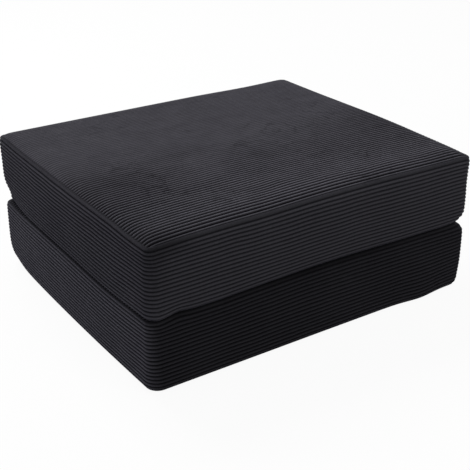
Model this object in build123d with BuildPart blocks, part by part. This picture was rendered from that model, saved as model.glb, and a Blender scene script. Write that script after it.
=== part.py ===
"""Chair bed: two foam blocks in wide-rib corduroy covers, folded one on top of the other.

The blocks are joined along their right-hand ends by a cloth hinge strip, so the upper one swings
up and over and lies beside the lower one as a mattress of twice the length. Each cover has a top
and a bottom panel, a side band round three sides, and a two-part band at the back with a zip
between its halves, through which the foam goes in.

Sizes are in millimetres. X runs along the long front side, Y from front to back, Z up. The origin
is on the floor, under the middle of the folded stack.
"""

import os
from math import cos, pi, sin

from build123d import *

# One foam block in its cover, measured over the fullest part of its sides.
block_length = 762.0
block_depth = 652.0
block_height = 150.0
corner_radius = 30.0  # upright corners, seen from above
end_bow = 5.0  # how far the left end's seams bow out between their corners
front_bow = 2.0  # the same along the front
fullness = 4.0  # how much further those two sides swell at mid height
blocks_gap = 0.3  # between the two blocks, where they rest on each other

# Edge rounding and crown. Only the seat on top is domed: the other faces are pressed flat.
seat_edge_radius = 12.0
parting_edge_radius = 14.0  # the two edges that meet where the blocks are parted
floor_edge_radius = 18.0
seat_crown = 5.0  # from the middle of the seat down to the start of its rounded edge
seat_shoulder = 48.0  # width of the sloping shoulder round the seat's level middle
seat_seam_drop = 14.5  # from the middle of the seat down to its seam
hidden_seam_rise = 3.0  # from a flat face to its seam, inside the rounded edge
rounding_strips = 3  # in each rounded edge

cloth = 2.0  # corduroy with its pile
foam_clearance = 0.3  # between the cover and the foam

# Hinge strip, sewn over the flat right-hand ends of both side bands.
strip_width = 72.0  # upright, half on each block
strip_thickness = 1.6
strip_end_margin = 46.0  # from the block's corner to the end of the strip
strip_corner_radius = 6.0

# Zip, level along the middle of each back.
zip_length = 560.0  # from end stop to end stop
zip_end_margin = 40.0  # from an end stop to the end of the cloth strips that carry the zip
zip_mouth = 14.0  # between the edges of those strips
tape_thickness = 0.8
tape_width = 14.0
bead_width = 1.6  # the cord along the tape's edge that the teeth grip
bead_offset = 2.0  # from the zip's centre line to the near side of the bead
tooth_pitch = 6.0  # along one tape
tooth_thickness = 2.4
tooth_reach = 1.0  # past the centre line, between the other tape's teeth
tooth_root = 1.8  # along the zip, where a tooth leaves the bead
tooth_tip = 2.4  # and at its free end, which hooks behind the other tape's teeth
stop_length = 3.0
stop_thickness = 3.0

# Slider, with its pull hung on the rear post of its bridge.
slider_length = 15.0
slider_nose_width = 12.6
slider_tail_width = 10.4
slider_corner_radius = 1.6
slider_plate = 1.4
slider_lip = 0.9  # how far the side lips stand in from the slider's narrow end
channel_clearance = 0.3  # round the teeth and round the tape
stop_clearance = 0.4  # between the slider and an end stop
divider_length = 3.6  # the wedge in the nose that parts the teeth
divider_width = 3.0
post_radius = 1.0
post_spacing = 7.0
bridge_width = 2.4
bridge_thickness = 1.2
pull_thickness = 1.1
pull_clearance = 0.3  # to the slider's plate, to the bridge and round the post
pull_eye_radius = 3.2
pull_length = 27.0  # from the post to the far end
pull_waist_width = 4.4
pull_end_width = 8.0
grip_hole_length = 9.0
grip_hole_width = 3.2

overrun = 20.0  # how far a cut runs past what it cuts

# Places worked out from the sizes above.
right_side = block_length / 2
back_side = block_depth / 2
left_corner_line = -block_length / 2 + end_bow + fullness
front_corner_line = -block_depth / 2 + front_bow + fullness
parting_height = block_height
hinge_height = parting_height
tape_plane = back_side - cloth - tape_thickness / 2
channel_depth = tooth_thickness + 2 * channel_clearance
slider_thickness = channel_depth + 2 * slider_plate
slider_face = tape_plane + slider_thickness / 2
chain_half_width = bead_offset + bead_width
zip_band_length = zip_length + 2 * zip_end_margin
closed_end = zip_length / 2
slider_rest = closed_end - stop_clearance - slider_length / 2
post_height = pull_thickness + 2 * pull_clearance
rear_post = slider_rest - post_spacing / 2


def outline(inset, swell, radius, bowed):
    """One level section of a block: left and front sides bowed or not, right and back straight."""
    left = left_corner_line + inset
    front = front_corner_line + inset
    right = right_side - inset
    back = back_side - inset
    with BuildSketch(Plane.XY, mode=Mode.PRIVATE) as section:
        with BuildLine():
            if bowed:
                belly = left - end_bow - swell
                chest = front - front_bow - swell
                ThreePointArc((left, back), (belly, (back + front) / 2), (left, front))
                ThreePointArc((left, front), ((left + right) / 2, chest), (right, front))
            else:
                Line((left, back), (left, front))
                Line((left, front), (right, front))
            Line((right, front), (right, back))
            Line((right, back), (left, back))
        make_face()
        fillet(section.vertices(), radius)
    return section.sketch


def level_sections(base, top, crown, top_radius, bottom_radius, bowed):
    """The level sections of a block from bottom to top, each as its height, inset and swell.

    The sections follow the rounded bottom edge, the swell at mid height, the rounded top edge and
    the sloping shoulder of the crown.
    """
    rim = top - crown
    sections = []
    for strip in range(rounding_strips + 1):
        turn = strip / rounding_strips * pi / 2
        inset = bottom_radius * (1 - sin(turn))
        sections.append((base + bottom_radius * (1 - cos(turn)), inset, 0))
    if bowed:
        sections.append(((base + top) / 2, 0, fullness))
    for strip in range(rounding_strips + 1):
        turn = strip / rounding_strips * pi / 2
        inset = top_radius * (1 - cos(turn))
        sections.append((rim - top_radius * (1 - sin(turn)), inset, 0))
    if crown > 0:
        sections.append((top, top_radius + seat_shoulder, 0))
    return sections


def block_form(base, top, crown, top_radius, bottom_radius, inset, bowed=True):
    """A block's outer form, or the same form drawn in all round by inset, as a ruled loft."""
    edge_radii = (top_radius - inset, bottom_radius - inset)
    sections = level_sections(base + inset, top - inset, crown, *edge_radii, bowed)
    smallest_radius = corner_radius - inset - max(edge_radii)
    with BuildPart(mode=Mode.PRIVATE) as form:
        for height, drawn_in, swell in sections:
            radius = max(corner_radius - inset - drawn_in, smallest_radius)
            with BuildSketch(Plane.XY.offset(height)):
                add(outline(inset + drawn_in, swell, radius, bowed))
        loft(ruled=True)
    return form.part


def write(part, name):
    """Labels one finished piece and writes it to its own file."""
    part.label = name
    export_step(part, f"parts/{name}.step")


def cover_and_foam(block, base, top, crown, top_radius, bottom_radius, top_seam, bottom_seam):
    """The foam core of one block and the sewn pieces of its cover, all but the zip itself."""
    outer = block_form(base, top, crown, top_radius, bottom_radius, 0)
    lining = block_form(base, top, crown, top_radius, bottom_radius, cloth)
    zip_height = (base + top) / 2
    band_mid = (0, back_side, zip_height)

    with BuildPart() as top_panel:
        add(outer)
        add(lining, mode=Mode.SUBTRACT)
        split(bisect_by=Plane.XY.offset(top_seam), keep=Keep.TOP)
    write(top_panel.part, f"{block}_top_panel")

    with BuildPart() as bottom_panel:
        add(outer)
        add(lining, mode=Mode.SUBTRACT)
        split(bisect_by=Plane.XY.offset(bottom_seam), keep=Keep.BOTTOM)
    write(bottom_panel.part, f"{block}_bottom_panel")

    with BuildPart() as ring:
        add(outer)
        add(lining, mode=Mode.SUBTRACT)
        split(bisect_by=Plane.XY.offset(top_seam), keep=Keep.BOTTOM)
        split(bisect_by=Plane.XY.offset(bottom_seam), keep=Keep.TOP)

    with BuildPart() as side_band:
        add(ring.part)
        with Locations(band_mid):
            Box(zip_band_length, 2 * corner_radius, 2 * block_height, mode=Mode.SUBTRACT)
    write(side_band.part, f"{block}_side_band")

    for place, keep, edge in (
        ("above", Keep.TOP, zip_height + zip_mouth / 2),
        ("below", Keep.BOTTOM, zip_height - zip_mouth / 2),
    ):
        with BuildPart() as zip_band:
            add(ring.part)
            with Locations(band_mid):
                Box(zip_band_length, 2 * corner_radius, 2 * block_height, mode=Mode.INTERSECT)
            split(bisect_by=Plane.XY.offset(edge), keep=keep)
        write(zip_band.part, f"{block}_zip_band_{place}")

    with BuildPart() as foam_core:
        foam_inset = cloth + foam_clearance
        add(block_form(base, top - crown, 0, top_radius, bottom_radius, foam_inset, bowed=False))
        relief = back_side - (slider_face - slider_thickness) + foam_clearance
        relief_width = 2 * (bead_offset + bead_width + tape_width + foam_clearance)
        with Locations(band_mid):
            Box(zip_band_length, 2 * relief, relief_width, mode=Mode.SUBTRACT)
    write(foam_core.part, f"{block}_foam_core")


def comb(side, first_tooth):
    """One tape's row of teeth on its bead, as a flat outline; side is 1 above the centre line."""
    near = side * bead_offset
    far = side * (bead_offset + bead_width)
    tip = -side * tooth_reach
    count = int((slider_rest + closed_end - first_tooth) / tooth_pitch)
    corners = [(-closed_end, far), (-closed_end, near)]
    for number in range(count):
        middle = first_tooth - closed_end + number * tooth_pitch
        corners.append((middle - tooth_root / 2, near))
        corners.append((middle - tooth_tip / 2, tip))
        corners.append((middle + tooth_tip / 2, tip))
        corners.append((middle + tooth_root / 2, near))
    corners += [(closed_end, near), (closed_end, far)]
    with BuildSketch(mode=Mode.PRIVATE) as teeth:
        with BuildLine():
            Polyline(*corners, close=True)
        make_face()
    return teeth.sketch


def zip_chain(block, zip_height):
    """The tapes, teeth and end stops of one zip, closed."""
    plane = Plane.XZ.offset(-tape_plane).shift_origin((0, tape_plane, zip_height))
    for place, side, first in (
        ("above", 1, tooth_pitch / 2),
        ("below", -1, tooth_pitch),
    ):
        tape_mid = side * (bead_offset + bead_width + tape_width / 2)
        with BuildPart() as tape:
            with BuildSketch(plane):
                with Locations((0, tape_mid)):
                    Rectangle(zip_band_length, tape_width)
            extrude(amount=tape_thickness / 2, both=True)
        write(tape.part, f"{block}_zip_tape_{place}")

        with BuildPart() as teeth:
            with BuildSketch(plane):
                add(comb(side, first))
            extrude(amount=tooth_thickness / 2, both=True)
        write(teeth.part, f"{block}_zip_teeth_{place}")

    with BuildPart() as end_stops:
        with BuildSketch(plane):
            with Locations((-closed_end - stop_length / 2, 0)):
                Rectangle(stop_length, 2 * chain_half_width)
            for side in (1, -1):
                with Locations((closed_end + stop_length / 2, side * (bead_offset + bead_width / 2))):
                    Rectangle(stop_length, bead_width)
        extrude(amount=stop_thickness / 2, both=True)
    write(end_stops.part, f"{block}_zip_end_stops")


def zip_slider(block, zip_height):
    """The slider at the closed end: two plates joined in the nose, side lips and a bridge."""
    plane = Plane.XZ.offset(-tape_plane).shift_origin((0, tape_plane, zip_height))
    nose = slider_rest + slider_length / 2
    tail = slider_rest - slider_length / 2
    channel_half = slider_tail_width / 2 - slider_lip
    with BuildPart() as slider:
        with BuildSketch(plane) as shield:
            Polygon(
                (nose, slider_nose_width / 2),
                (slider_rest, slider_nose_width / 2),
                (tail, slider_tail_width / 2),
                (tail, -slider_tail_width / 2),
                (slider_rest, -slider_nose_width / 2),
                (nose, -slider_nose_width / 2),
                align=None,
            )
            fillet(shield.vertices(), slider_corner_radius)
        extrude(amount=slider_thickness / 2, both=True)
        with Locations((slider_rest, tape_plane, zip_height)):
            Box(slider_length + overrun, channel_depth, 2 * channel_half, mode=Mode.SUBTRACT)
            slot = tape_thickness + 2 * channel_clearance
            Box(slider_length + overrun, slot, slider_nose_width + overrun, mode=Mode.SUBTRACT)
        divider_mid = nose - slider_plate - divider_length / 2
        with Locations((divider_mid, tape_plane, zip_height)):
            Box(divider_length, channel_depth, divider_width)
        bridge_plane = Plane.XZ.offset(-slider_face)
        with BuildSketch(bridge_plane):
            with Locations((rear_post, zip_height), (rear_post + post_spacing, zip_height)):
                Circle(post_radius)
        extrude(amount=-post_height)
        with BuildSketch(bridge_plane.offset(-post_height)):
            with Locations((slider_rest, zip_height)):
                SlotCenterToCenter(post_spacing, bridge_width)
        extrude(amount=-bridge_thickness)
    write(slider.part, f"{block}_zip_slider")


def zip_pull(block, zip_height):
    """The pull, hanging straight down from the rear post of the bridge."""
    face = Plane.XZ.offset(-(slider_face + pull_clearance))
    with BuildPart() as pull:
        with BuildSketch(face) as tab:
            with Locations((rear_post, zip_height)):
                Circle(pull_eye_radius)
            end = zip_height - pull_length + pull_end_width / 2
            with BuildLine():
                Polyline(
                    (rear_post - pull_waist_width / 2, zip_height),
                    (rear_post - pull_end_width / 2, end),
                    (rear_post + pull_end_width / 2, end),
                    (rear_post + pull_waist_width / 2, zip_height),
                    close=True,
                )
            make_face()
            with Locations((rear_post, end)):
                Circle(pull_end_width / 2)
            with Locations((rear_post, zip_height)):
                Circle(post_radius + pull_clearance, mode=Mode.SUBTRACT)
            with Locations((rear_post, end + grip_hole_width / 2)):
                SlotOverall(grip_hole_length, grip_hole_width, rotation=90, mode=Mode.SUBTRACT)
        extrude(amount=-pull_thickness)
    write(pull.part, f"{block}_zip_pull")


def hinge_strip():
    """The cloth strip that bridges the parting line, flat against both right-hand ends."""
    strip_length = block_depth - 2 * strip_end_margin
    with BuildPart() as strip:
        with BuildSketch(Plane.YZ.offset(right_side)):
            with Locations((0, hinge_height)):
                RectangleRounded(strip_length, strip_width, strip_corner_radius)
        extrude(amount=strip_thickness)
    write(strip.part, "hinge_strip")


def lower_block():
    """The block that stands on the floor, flat above and below."""
    top = parting_height - blocks_gap / 2
    zip_height = top / 2
    cover_and_foam(
        "lower",
        0,
        top,
        0,
        parting_edge_radius,
        floor_edge_radius,
        top - hidden_seam_rise,
        hidden_seam_rise,
    )
    zip_chain("lower", zip_height)
    zip_slider("lower", zip_height)
    zip_pull("lower", zip_height)


def upper_block():
    """The block on top, flat below and crowned above."""
    base = parting_height + blocks_gap / 2
    top = parting_height + block_height
    zip_height = (base + top) / 2
    cover_and_foam(
        "upper",
        base,
        top,
        seat_crown,
        seat_edge_radius,
        parting_edge_radius,
        top - seat_seam_drop,
        base + hidden_seam_rise,
    )
    zip_chain("upper", zip_height)
    zip_slider("upper", zip_height)
    zip_pull("upper", zip_height)


os.makedirs("parts", exist_ok=True)
lower_block()
upper_block()
hinge_strip()
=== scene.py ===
"""Dresses the folded chair bed: ribbed covers, foam, hinge strip, zips, studio and camera.

Lengths are in metres and angles in radians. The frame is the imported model's: X along the long
front side, Y from front to back, Z up, origin on the floor under the middle of the stack.
"""

import logging
import math
from dataclasses import dataclass, field
from enum import Enum
from typing import Dict, List, Optional, Sequence, Tuple, Union

import bpy
import numpy as np
from mathutils import Matrix, Vector
from mathutils.kdtree import KDTree


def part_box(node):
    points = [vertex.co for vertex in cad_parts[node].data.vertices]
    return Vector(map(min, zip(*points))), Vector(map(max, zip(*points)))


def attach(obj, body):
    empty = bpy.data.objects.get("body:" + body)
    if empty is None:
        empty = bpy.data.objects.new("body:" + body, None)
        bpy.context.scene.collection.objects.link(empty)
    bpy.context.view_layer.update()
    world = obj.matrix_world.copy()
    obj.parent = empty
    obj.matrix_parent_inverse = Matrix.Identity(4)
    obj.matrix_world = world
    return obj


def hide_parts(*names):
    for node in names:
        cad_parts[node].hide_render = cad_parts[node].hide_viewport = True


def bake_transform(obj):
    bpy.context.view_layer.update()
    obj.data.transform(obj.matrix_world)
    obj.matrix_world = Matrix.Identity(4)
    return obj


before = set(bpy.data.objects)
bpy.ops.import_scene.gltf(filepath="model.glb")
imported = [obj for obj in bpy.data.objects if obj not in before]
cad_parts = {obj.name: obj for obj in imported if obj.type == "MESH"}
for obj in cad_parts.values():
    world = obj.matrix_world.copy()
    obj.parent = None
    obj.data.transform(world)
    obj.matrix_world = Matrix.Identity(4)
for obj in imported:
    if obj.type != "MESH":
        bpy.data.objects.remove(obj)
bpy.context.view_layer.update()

LOG = logging.getLogger("chair_bed")

Array = np.ndarray
Pair = Tuple[float, float]
Triple = Tuple[float, float, float]
Colour = Triple
Value = Union["Field", float, int]

QUARTER = math.pi / 2
NEAR = 1e-9  # Closer than this, places and directions count as the same.
TINY = 1e-12  # Keeps a division by no length finite.


def smooth(x: Array) -> Array:
    """Eases a share from 0 to 1, held at both ends."""
    x = np.clip(x, 0.0, 1.0)
    return x * x * (3.0 - 2.0 * x)


def travelled(steps: Array) -> Array:
    """Distance travelled at the start and after each of these steps."""
    return np.concatenate([[0.0], np.cumsum(steps)])


def at_level(plan: Array, z: float) -> Array:
    """Places in plan, lifted to one height."""
    return np.column_stack([plan, np.full(len(plan), z)])


@dataclass(frozen=True)
class Margin:
    """A plain strip beside an edge, and the width over which something sets in past it."""

    plain: float
    ease: float

    def past(self, away: Array) -> Array:
        """From 0 in the strip to 1 past the easing, at a distance from the edge."""
        return smooth((away - self.plain) / self.ease)


class SoftNoise:
    """Smooth, seeded noise over a line, a plane or a space, from -1 to 1."""

    CELLS = 17

    def __init__(self, seed: int, cell: Sequence[float]) -> None:
        """Draws the lattice.

        Args:
            seed: Fixes the lattice, so each run gives the same field.
            cell: Size of a lattice cell along each axis, in metres.
        """
        self.cell = np.array(cell, float)
        shape = (self.CELLS,) * len(self.cell)
        self.lattice = np.random.RandomState(seed).uniform(-1.0, 1.0, shape)

    def __call__(self, points: Array) -> Array:
        """Samples the field.

        Args:
            points: Points in any arrangement, with the lattice's axes last.

        Returns:
            One value per point.
        """
        scaled = points / self.cell
        low = np.floor(scaled).astype(int)
        part = smooth(scaled - low)
        total = np.zeros(points.shape[:-1])
        axes = len(self.cell)
        for corner in range(2**axes):
            bits = np.array([(corner >> axis) & 1 for axis in range(axes)])
            weight = np.prod(np.where(bits, part, 1.0 - part), axis=-1)
            total += weight * self.lattice[tuple(np.moveaxis((low + bits) % self.CELLS, -1, 0))]
        return total


class Draw(Enum):
    """What each noise of a block adds to its seed, so that no two are alike."""

    TAPE = 7
    WANDER = 40
    LIVELINESS = 60
    WEAR = 80
    SAW = 90

    def noise(self, seed: int, *cell: float) -> SoftNoise:
        """The noise of a block with this seed, over a lattice of cells of this size."""
        return SoftNoise(seed + self.value, cell)


# Shader maths


class Field:
    """A shader socket that can be used in Python sums; each operation adds a Math node."""

    def __init__(self, graph: "Graph", socket: bpy.types.NodeSocket) -> None:
        """Wraps one output socket of a graph."""
        self.graph = graph
        self.socket = socket

    def _math(self, operation: str, first: Value, second: Value) -> "Field":
        """Adds a Math node.

        Args:
            operation: Blender's name of the operation.
            first: Left-hand value.
            second: Right-hand value.

        Returns:
            The node's result.
        """
        return self.graph.node("Math", {"operation": operation}, {0: first, 1: second})

    def __add__(self, other: Value) -> "Field":
        """self + other."""
        return self._math("ADD", self, other)

    def __radd__(self, other: Value) -> "Field":
        """other + self."""
        return self._math("ADD", other, self)

    def __sub__(self, other: Value) -> "Field":
        """self - other."""
        return self._math("SUBTRACT", self, other)

    def __rsub__(self, other: Value) -> "Field":
        """other - self."""
        return self._math("SUBTRACT", other, self)

    def __mul__(self, other: Value) -> "Field":
        """self * other."""
        return self._math("MULTIPLY", self, other)

    def __rmul__(self, other: Value) -> "Field":
        """other * self."""
        return self._math("MULTIPLY", other, self)


class Graph:
    """The shader nodes of one material or world under construction."""

    MIX_SHARE = 0
    MIX_COLOURS = (6, 7)
    MIX_RESULT = 2

    def __init__(self, owner: Union[bpy.types.Material, bpy.types.World]) -> None:
        """Empties the owner's nodes.

        Args:
            owner: The new material or world.
        """
        owner.use_nodes = True
        self.owner = owner
        self.tree = owner.node_tree
        self.tree.nodes.clear()

    def feed(self, socket: bpy.types.NodeSocket, value: object) -> None:
        """Links a field to a socket, or sets its own value; a colour is given as three numbers.

        Args:
            socket: The socket to fill.
            value: A field, a number, a vector or a colour.
        """
        if isinstance(value, Field):
            self.tree.links.new(value.socket, socket)
        elif socket.type == "RGBA":
            socket.default_value = (*value, 1.0)
        else:
            socket.default_value = value

    def node(
        self,
        kind: str,
        settings: Optional[Dict[str, object]] = None,
        inputs: Optional[Dict[Union[int, str], object]] = None,
        out: Union[int, str] = 0,
    ) -> Optional[Field]:
        """Adds any node.

        Args:
            kind: Blender's node type without its ShaderNode prefix.
            settings: The node's own properties, set first; stops fills a ramp.
            inputs: Values or fields by socket name or number.
            out: Name or number of the output wanted.

        Returns:
            The output as a field, or nothing for the node that ends a tree.
        """
        made = self.tree.nodes.new(f"ShaderNode{kind}")
        for key, value in (settings or {}).items():
            if key == "stops":
                self._fill_ramp(made.color_ramp, value)
            else:
                setattr(made, key, value)
        for key, value in (inputs or {}).items():
            self.feed(made.inputs[key], value)
        return Field(self, made.outputs[out]) if made.outputs else None

    def _fill_ramp(self, ramp: bpy.types.ColorRamp, stops: Sequence[Pair]) -> None:
        """Sets a grey ramp's stops, each a place and a grey level.

        Args:
            ramp: The ramp to fill.
            stops: The stops, in rising order of place.
        """
        while len(ramp.elements) < len(stops):
            ramp.elements.new(0.5)
        for element, (place, grey) in zip(ramp.elements, stops):
            element.position = place
            element.color = (grey, grey, grey, 1.0)

    def place(self) -> Field:
        """Object coordinates, in metres."""
        return self.node("TexCoord", out="Object")

    def stretch(self, factors: Triple) -> Field:
        """Object coordinates scaled by a factor along each axis."""
        return self.node("VectorMath", {"operation": "MULTIPLY"}, {0: self.place(), 1: factors})

    def attribute(self, name: str) -> Field:
        """A number stored on the mesh's points."""
        return self.node("Attribute", {"attribute_name": name}, out="Fac")

    def noise(self, scale: float, detail: float = 2.0, at: Optional[Field] = None) -> Field:
        """Noise from 0 to 1 at a scale in cycles per metre."""
        inputs = {"Vector": at or self.place(), "Scale": scale, "Detail": detail}
        return self.node("TexNoise", None, inputs, "Fac")

    def spots(
        self, scale: float, detail: float, low: float, high: float, at: Optional[Field] = None
    ) -> Field:
        """Noise hardened into spots: 0 up to the low level and 1 from the high one."""
        return self.ramp(self.noise(scale, detail, at), (low, 0.0), (high, 1.0))

    def bands(self, scale: float, distortion: float = 0.0) -> Field:
        """Slanting bands from 0 to 1, as in a twill or a twisted thread.

        Args:
            scale: How fine the bands are.
            distortion: How much they waver.

        Returns:
            The bands as a field.
        """
        settings = {"wave_type": "BANDS", "bands_direction": "DIAGONAL"}
        inputs = {"Vector": self.place(), "Scale": scale, "Distortion": distortion}
        return self.node("TexWave", settings, inputs, "Fac")

    def ramp(self, value: Field, *stops: Pair) -> Field:
        """Passes a field through a grey ramp."""
        return self.node("ValToRGB", {"stops": stops}, {"Fac": value})

    def mix(self, share: Value, first: object, second: object) -> Field:
        """Mixes two colours, each a field or three numbers."""
        inputs = {self.MIX_SHARE: share, **dict(zip(self.MIX_COLOURS, (first, second)))}
        return self.node("Mix", {"data_type": "RGBA"}, inputs, self.MIX_RESULT)

    def relief(self, height: Field, depth: float) -> Field:
        """A bumped normal, from a relief between 0 and 1 and its full height in metres."""
        return self.node("Bump", None, {"Height": height, "Distance": depth})

    def seen(self) -> Field:
        """1 for rays from the camera and for rays that left a glossy or clear surface.

        Returns:
            The mask as a field.
        """
        kinds = ("Is Camera Ray", "Is Glossy Ray", "Is Transmission Ray")
        camera, glossy, through = (self.node("LightPath", out=kind) for kind in kinds)
        return camera + glossy + through

    def surface(self, **values: object) -> bpy.types.Material:
        """Closes a material with a Principled shader; socket names have _ for a space."""
        inputs = {key.replace("_", " "): value for key, value in values.items()}
        return self.close(self.node("BsdfPrincipled", None, inputs))

    def close(self, shader: Field) -> Union[bpy.types.Material, bpy.types.World]:
        """Links the finished shader to the tree's output and returns the owner.

        Args:
            shader: The finished shader.

        Returns:
            The material or world.
        """
        kind = "OutputWorld" if isinstance(self.owner, bpy.types.World) else "OutputMaterial"
        self.node(kind, None, {"Surface": shader})
        return self.owner


# Finishes


@dataclass(frozen=True)
class CorduroyFinish:
    """Wide-rib cotton corduroy: matt pile on the ribs, brushed patches, painted highlights on the
    crests, painted shade in the grooves and by the seams, and painted shading by the way each side
    faces.
    """

    pile: Colour = (0.036, 0.0347, 0.0414)
    # Painted highlight on the rib crests.
    crest: Colour = (0.083, 0.0800, 0.0930)
    # Painted shade in the grooves and by the seams; the same dark colour also draws the cloth's own
    # dark flecks and the painted shade in the seat's fine folds.
    groove: Colour = (0.0015, 0.0015, 0.002)
    brushed: Colour = (0.046, 0.044, 0.052)
    lint: Colour = (0.11, 0.11, 0.115)
    sheen_tint: Colour = (0.80, 0.78, 1.0)
    sheen: float = 0.07
    seat_levels: Pair = (0.290, 0.299)

    def make(self) -> bpy.types.Material:
        """Builds the material.

        Returns:
            The material.
        """
        g = Graph(bpy.data.materials.new("corduroy"))
        groove = g.attribute("groove")
        brushed = g.spots(9.0, 3.0, 0.38, 0.68)
        streaks = g.spots(60.0, 2.0, 0.3, 0.75, g.stretch((0.35, 1.6, 1.6)))
        speckles = g.spots(520.0, 2.0, 0.35, 0.65)
        nicks = g.spots(260.0, 2.0, 0.30, 0.70, g.stretch((1.0, 0.45, 0.45)))
        lint = g.spots(420.0, 1.0, 0.80, 0.84)
        tufts = g.noise(1100.0, 3.0)
        fibres = g.noise(2600.0, 2.0, g.stretch((1.0, 0.5, 0.5)))
        colour = g.mix(brushed * 0.55 + streaks * 0.25, self.pile, self.brushed)
        colour = g.mix(tufts * 0.5, colour, self.pile)
        # Painted highlight on the rib crests.
        colour = g.mix(g.ramp(groove, (0.0, 1.0), (0.22, 0.0)) * 0.75, colour, self.crest)
        # Painted shade in the grooves.
        colour = g.mix(g.ramp(groove, (0.05, 0.0), (0.60, 1.0)), colour, self.groove)
        # Painted shade along the seams and over the plain band under the top seam.
        colour = g.mix(g.attribute("seam") * 0.8, colour, self.groove)
        # Dark flecks and nicks of the cloth itself, in the same dark colour.
        colour = g.mix(speckles * 0.18 + nicks * 0.10, colour, self.groove)
        colour = g.mix(lint * 0.25, colour, self.lint)
        # Painted shade in the seat's fine folds, with mottling.
        colour = g.mix(self._pressed(g), colour, self.groove)
        # The colour is scaled by the painted shading: each side painted lighter or darker by the way
        # it faces, and patches of painted light and shade.
        shaded = {0: colour, "Scale": g.attribute("nap")}
        return g.surface(
            Base_Color=g.node("VectorMath", {"operation": "SCALE"}, shaded),
            Roughness=0.92 - brushed * 0.1,
            Specular_IOR_Level=0.05,
            Sheen_Weight=self.sheen,
            Sheen_Roughness=0.45,
            Sheen_Tint=self.sheen_tint,
            Normal=g.relief(tufts * 0.45 + fibres * 0.25 + g.noise(330.0) * 0.3, 0.0010),
        )

    def _pressed(self, g: Graph) -> Field:
        """How much painted shade in the seat's fine folds, and mottling, darken the pile; 0 below the
        seat.

        Args:
            g: The corduroy's graph.

        Returns:
            The share of darkening as a field.
        """
        height = g.node("SeparateXYZ", None, {0: g.place()}, "Z")
        low, high = self.seat_levels
        folds = g.noise(13.0, 3.0, g.stretch((0.7, 1.0, 1.0)))
        fold_shade_lines = g.ramp(folds, (0.478, 0.0), (0.494, 1.0), (0.500, 1.0), (0.516, 0.0))
        fold_shade_and_mottling = fold_shade_lines * g.spots(8.0, 1.0, 0.50, 0.62) * 0.34 + g.spots(34.0, 4.0, 0.36, 0.66) * 0.15
        return g.ramp(height, (low, 0.0), (high, 1.0)) * fold_shade_and_mottling


@dataclass(frozen=True)
class FoamFinish:
    """Open-cell polyurethane foam, cream, a little yellowed."""

    fresh: Colour = (0.80, 0.74, 0.56)
    aged: Colour = (0.72, 0.60, 0.36)

    def make(self) -> bpy.types.Material:
        """Builds the material.

        Returns:
            The material.
        """
        g = Graph(bpy.data.materials.new("foam"))
        inputs = {"Vector": g.place(), "Scale": 650.0}
        cells = g.node("TexVoronoi", {"feature": "F1"}, inputs, "Distance")
        colour = g.mix(g.noise(14.0, 3.0), self.fresh, self.aged)
        return g.surface(
            Base_Color=g.mix(g.ramp(cells, (0.1, 0.5), (0.4, 0.0)), colour, self.aged),
            Roughness=0.95 - cells * 0.1,
            Specular_IOR_Level=0.2,
            Normal=g.relief(cells, 0.0006),
        )


@dataclass(frozen=True)
class TapeFinish:
    """Black woven polyester zip tape, in a herringbone twill."""

    yarn: Colour = (0.022, 0.022, 0.025)
    gap: Colour = (0.006, 0.006, 0.007)

    def make(self) -> bpy.types.Material:
        """Builds the material.

        Returns:
            The material.
        """
        g = Graph(bpy.data.materials.new("zip_tape"))
        twill = g.bands(260.0, 1.0)
        fuzz = g.noise(900.0)
        return g.surface(
            Base_Color=g.mix(twill, self.gap, self.yarn),
            Roughness=0.75 + fuzz * 0.15,
            Sheen_Weight=0.2,
            Normal=g.relief(twill * 0.8 + fuzz * 0.2, 0.0003),
        )


@dataclass(frozen=True)
class MouldedFinish:
    """Black moulded teeth, satin, with light rub marks."""

    colour: Colour = (0.016, 0.016, 0.018)
    rubbed: Colour = (0.05, 0.05, 0.052)

    def make(self) -> bpy.types.Material:
        """Builds the material.

        Returns:
            The material.
        """
        g = Graph(bpy.data.materials.new("zip_teeth"))
        rub = g.spots(240.0, 3.0, 0.5, 0.8)
        return g.surface(
            Base_Color=g.mix(rub, self.colour, self.rubbed),
            Roughness=0.38 + rub * 0.25,
            Normal=g.relief(g.noise(1500.0), 0.00008),
        )


@dataclass(frozen=True)
class CastFinish:
    """Dark nickel over a zinc casting, worn brighter in patches."""

    plate: Colour = (0.20, 0.20, 0.215)
    worn: Colour = (0.42, 0.41, 0.40)

    def make(self) -> bpy.types.Material:
        """Builds the material.

        Returns:
            The material.
        """
        g = Graph(bpy.data.materials.new("zip_metal"))
        wear = g.spots(300.0, 4.0, 0.48, 0.78)
        scratch = g.noise(2200.0, 2.0, g.stretch((0.12, 1.0, 1.0)))
        return g.surface(
            Base_Color=g.mix(wear, self.plate, self.worn),
            Metallic=1.0,
            Roughness=0.26 + scratch * 0.2 + wear * 0.1,
            Normal=g.relief(scratch, 0.00004),
        )


@dataclass(frozen=True)
class ThreadFinish:
    """Black polyester sewing thread with a twist."""

    colour: Colour = (0.020, 0.020, 0.023)
    light: Colour = (0.055, 0.055, 0.060)

    def make(self) -> bpy.types.Material:
        """Builds the material.

        Returns:
            The material.
        """
        g = Graph(bpy.data.materials.new("thread"))
        twist = g.bands(900.0)
        return g.surface(
            Base_Color=g.mix(twist, self.colour, self.light),
            Roughness=0.5 + twist * 0.2,
            Sheen_Weight=0.1,
            Normal=g.relief(twist, 0.0001),
        )


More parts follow.
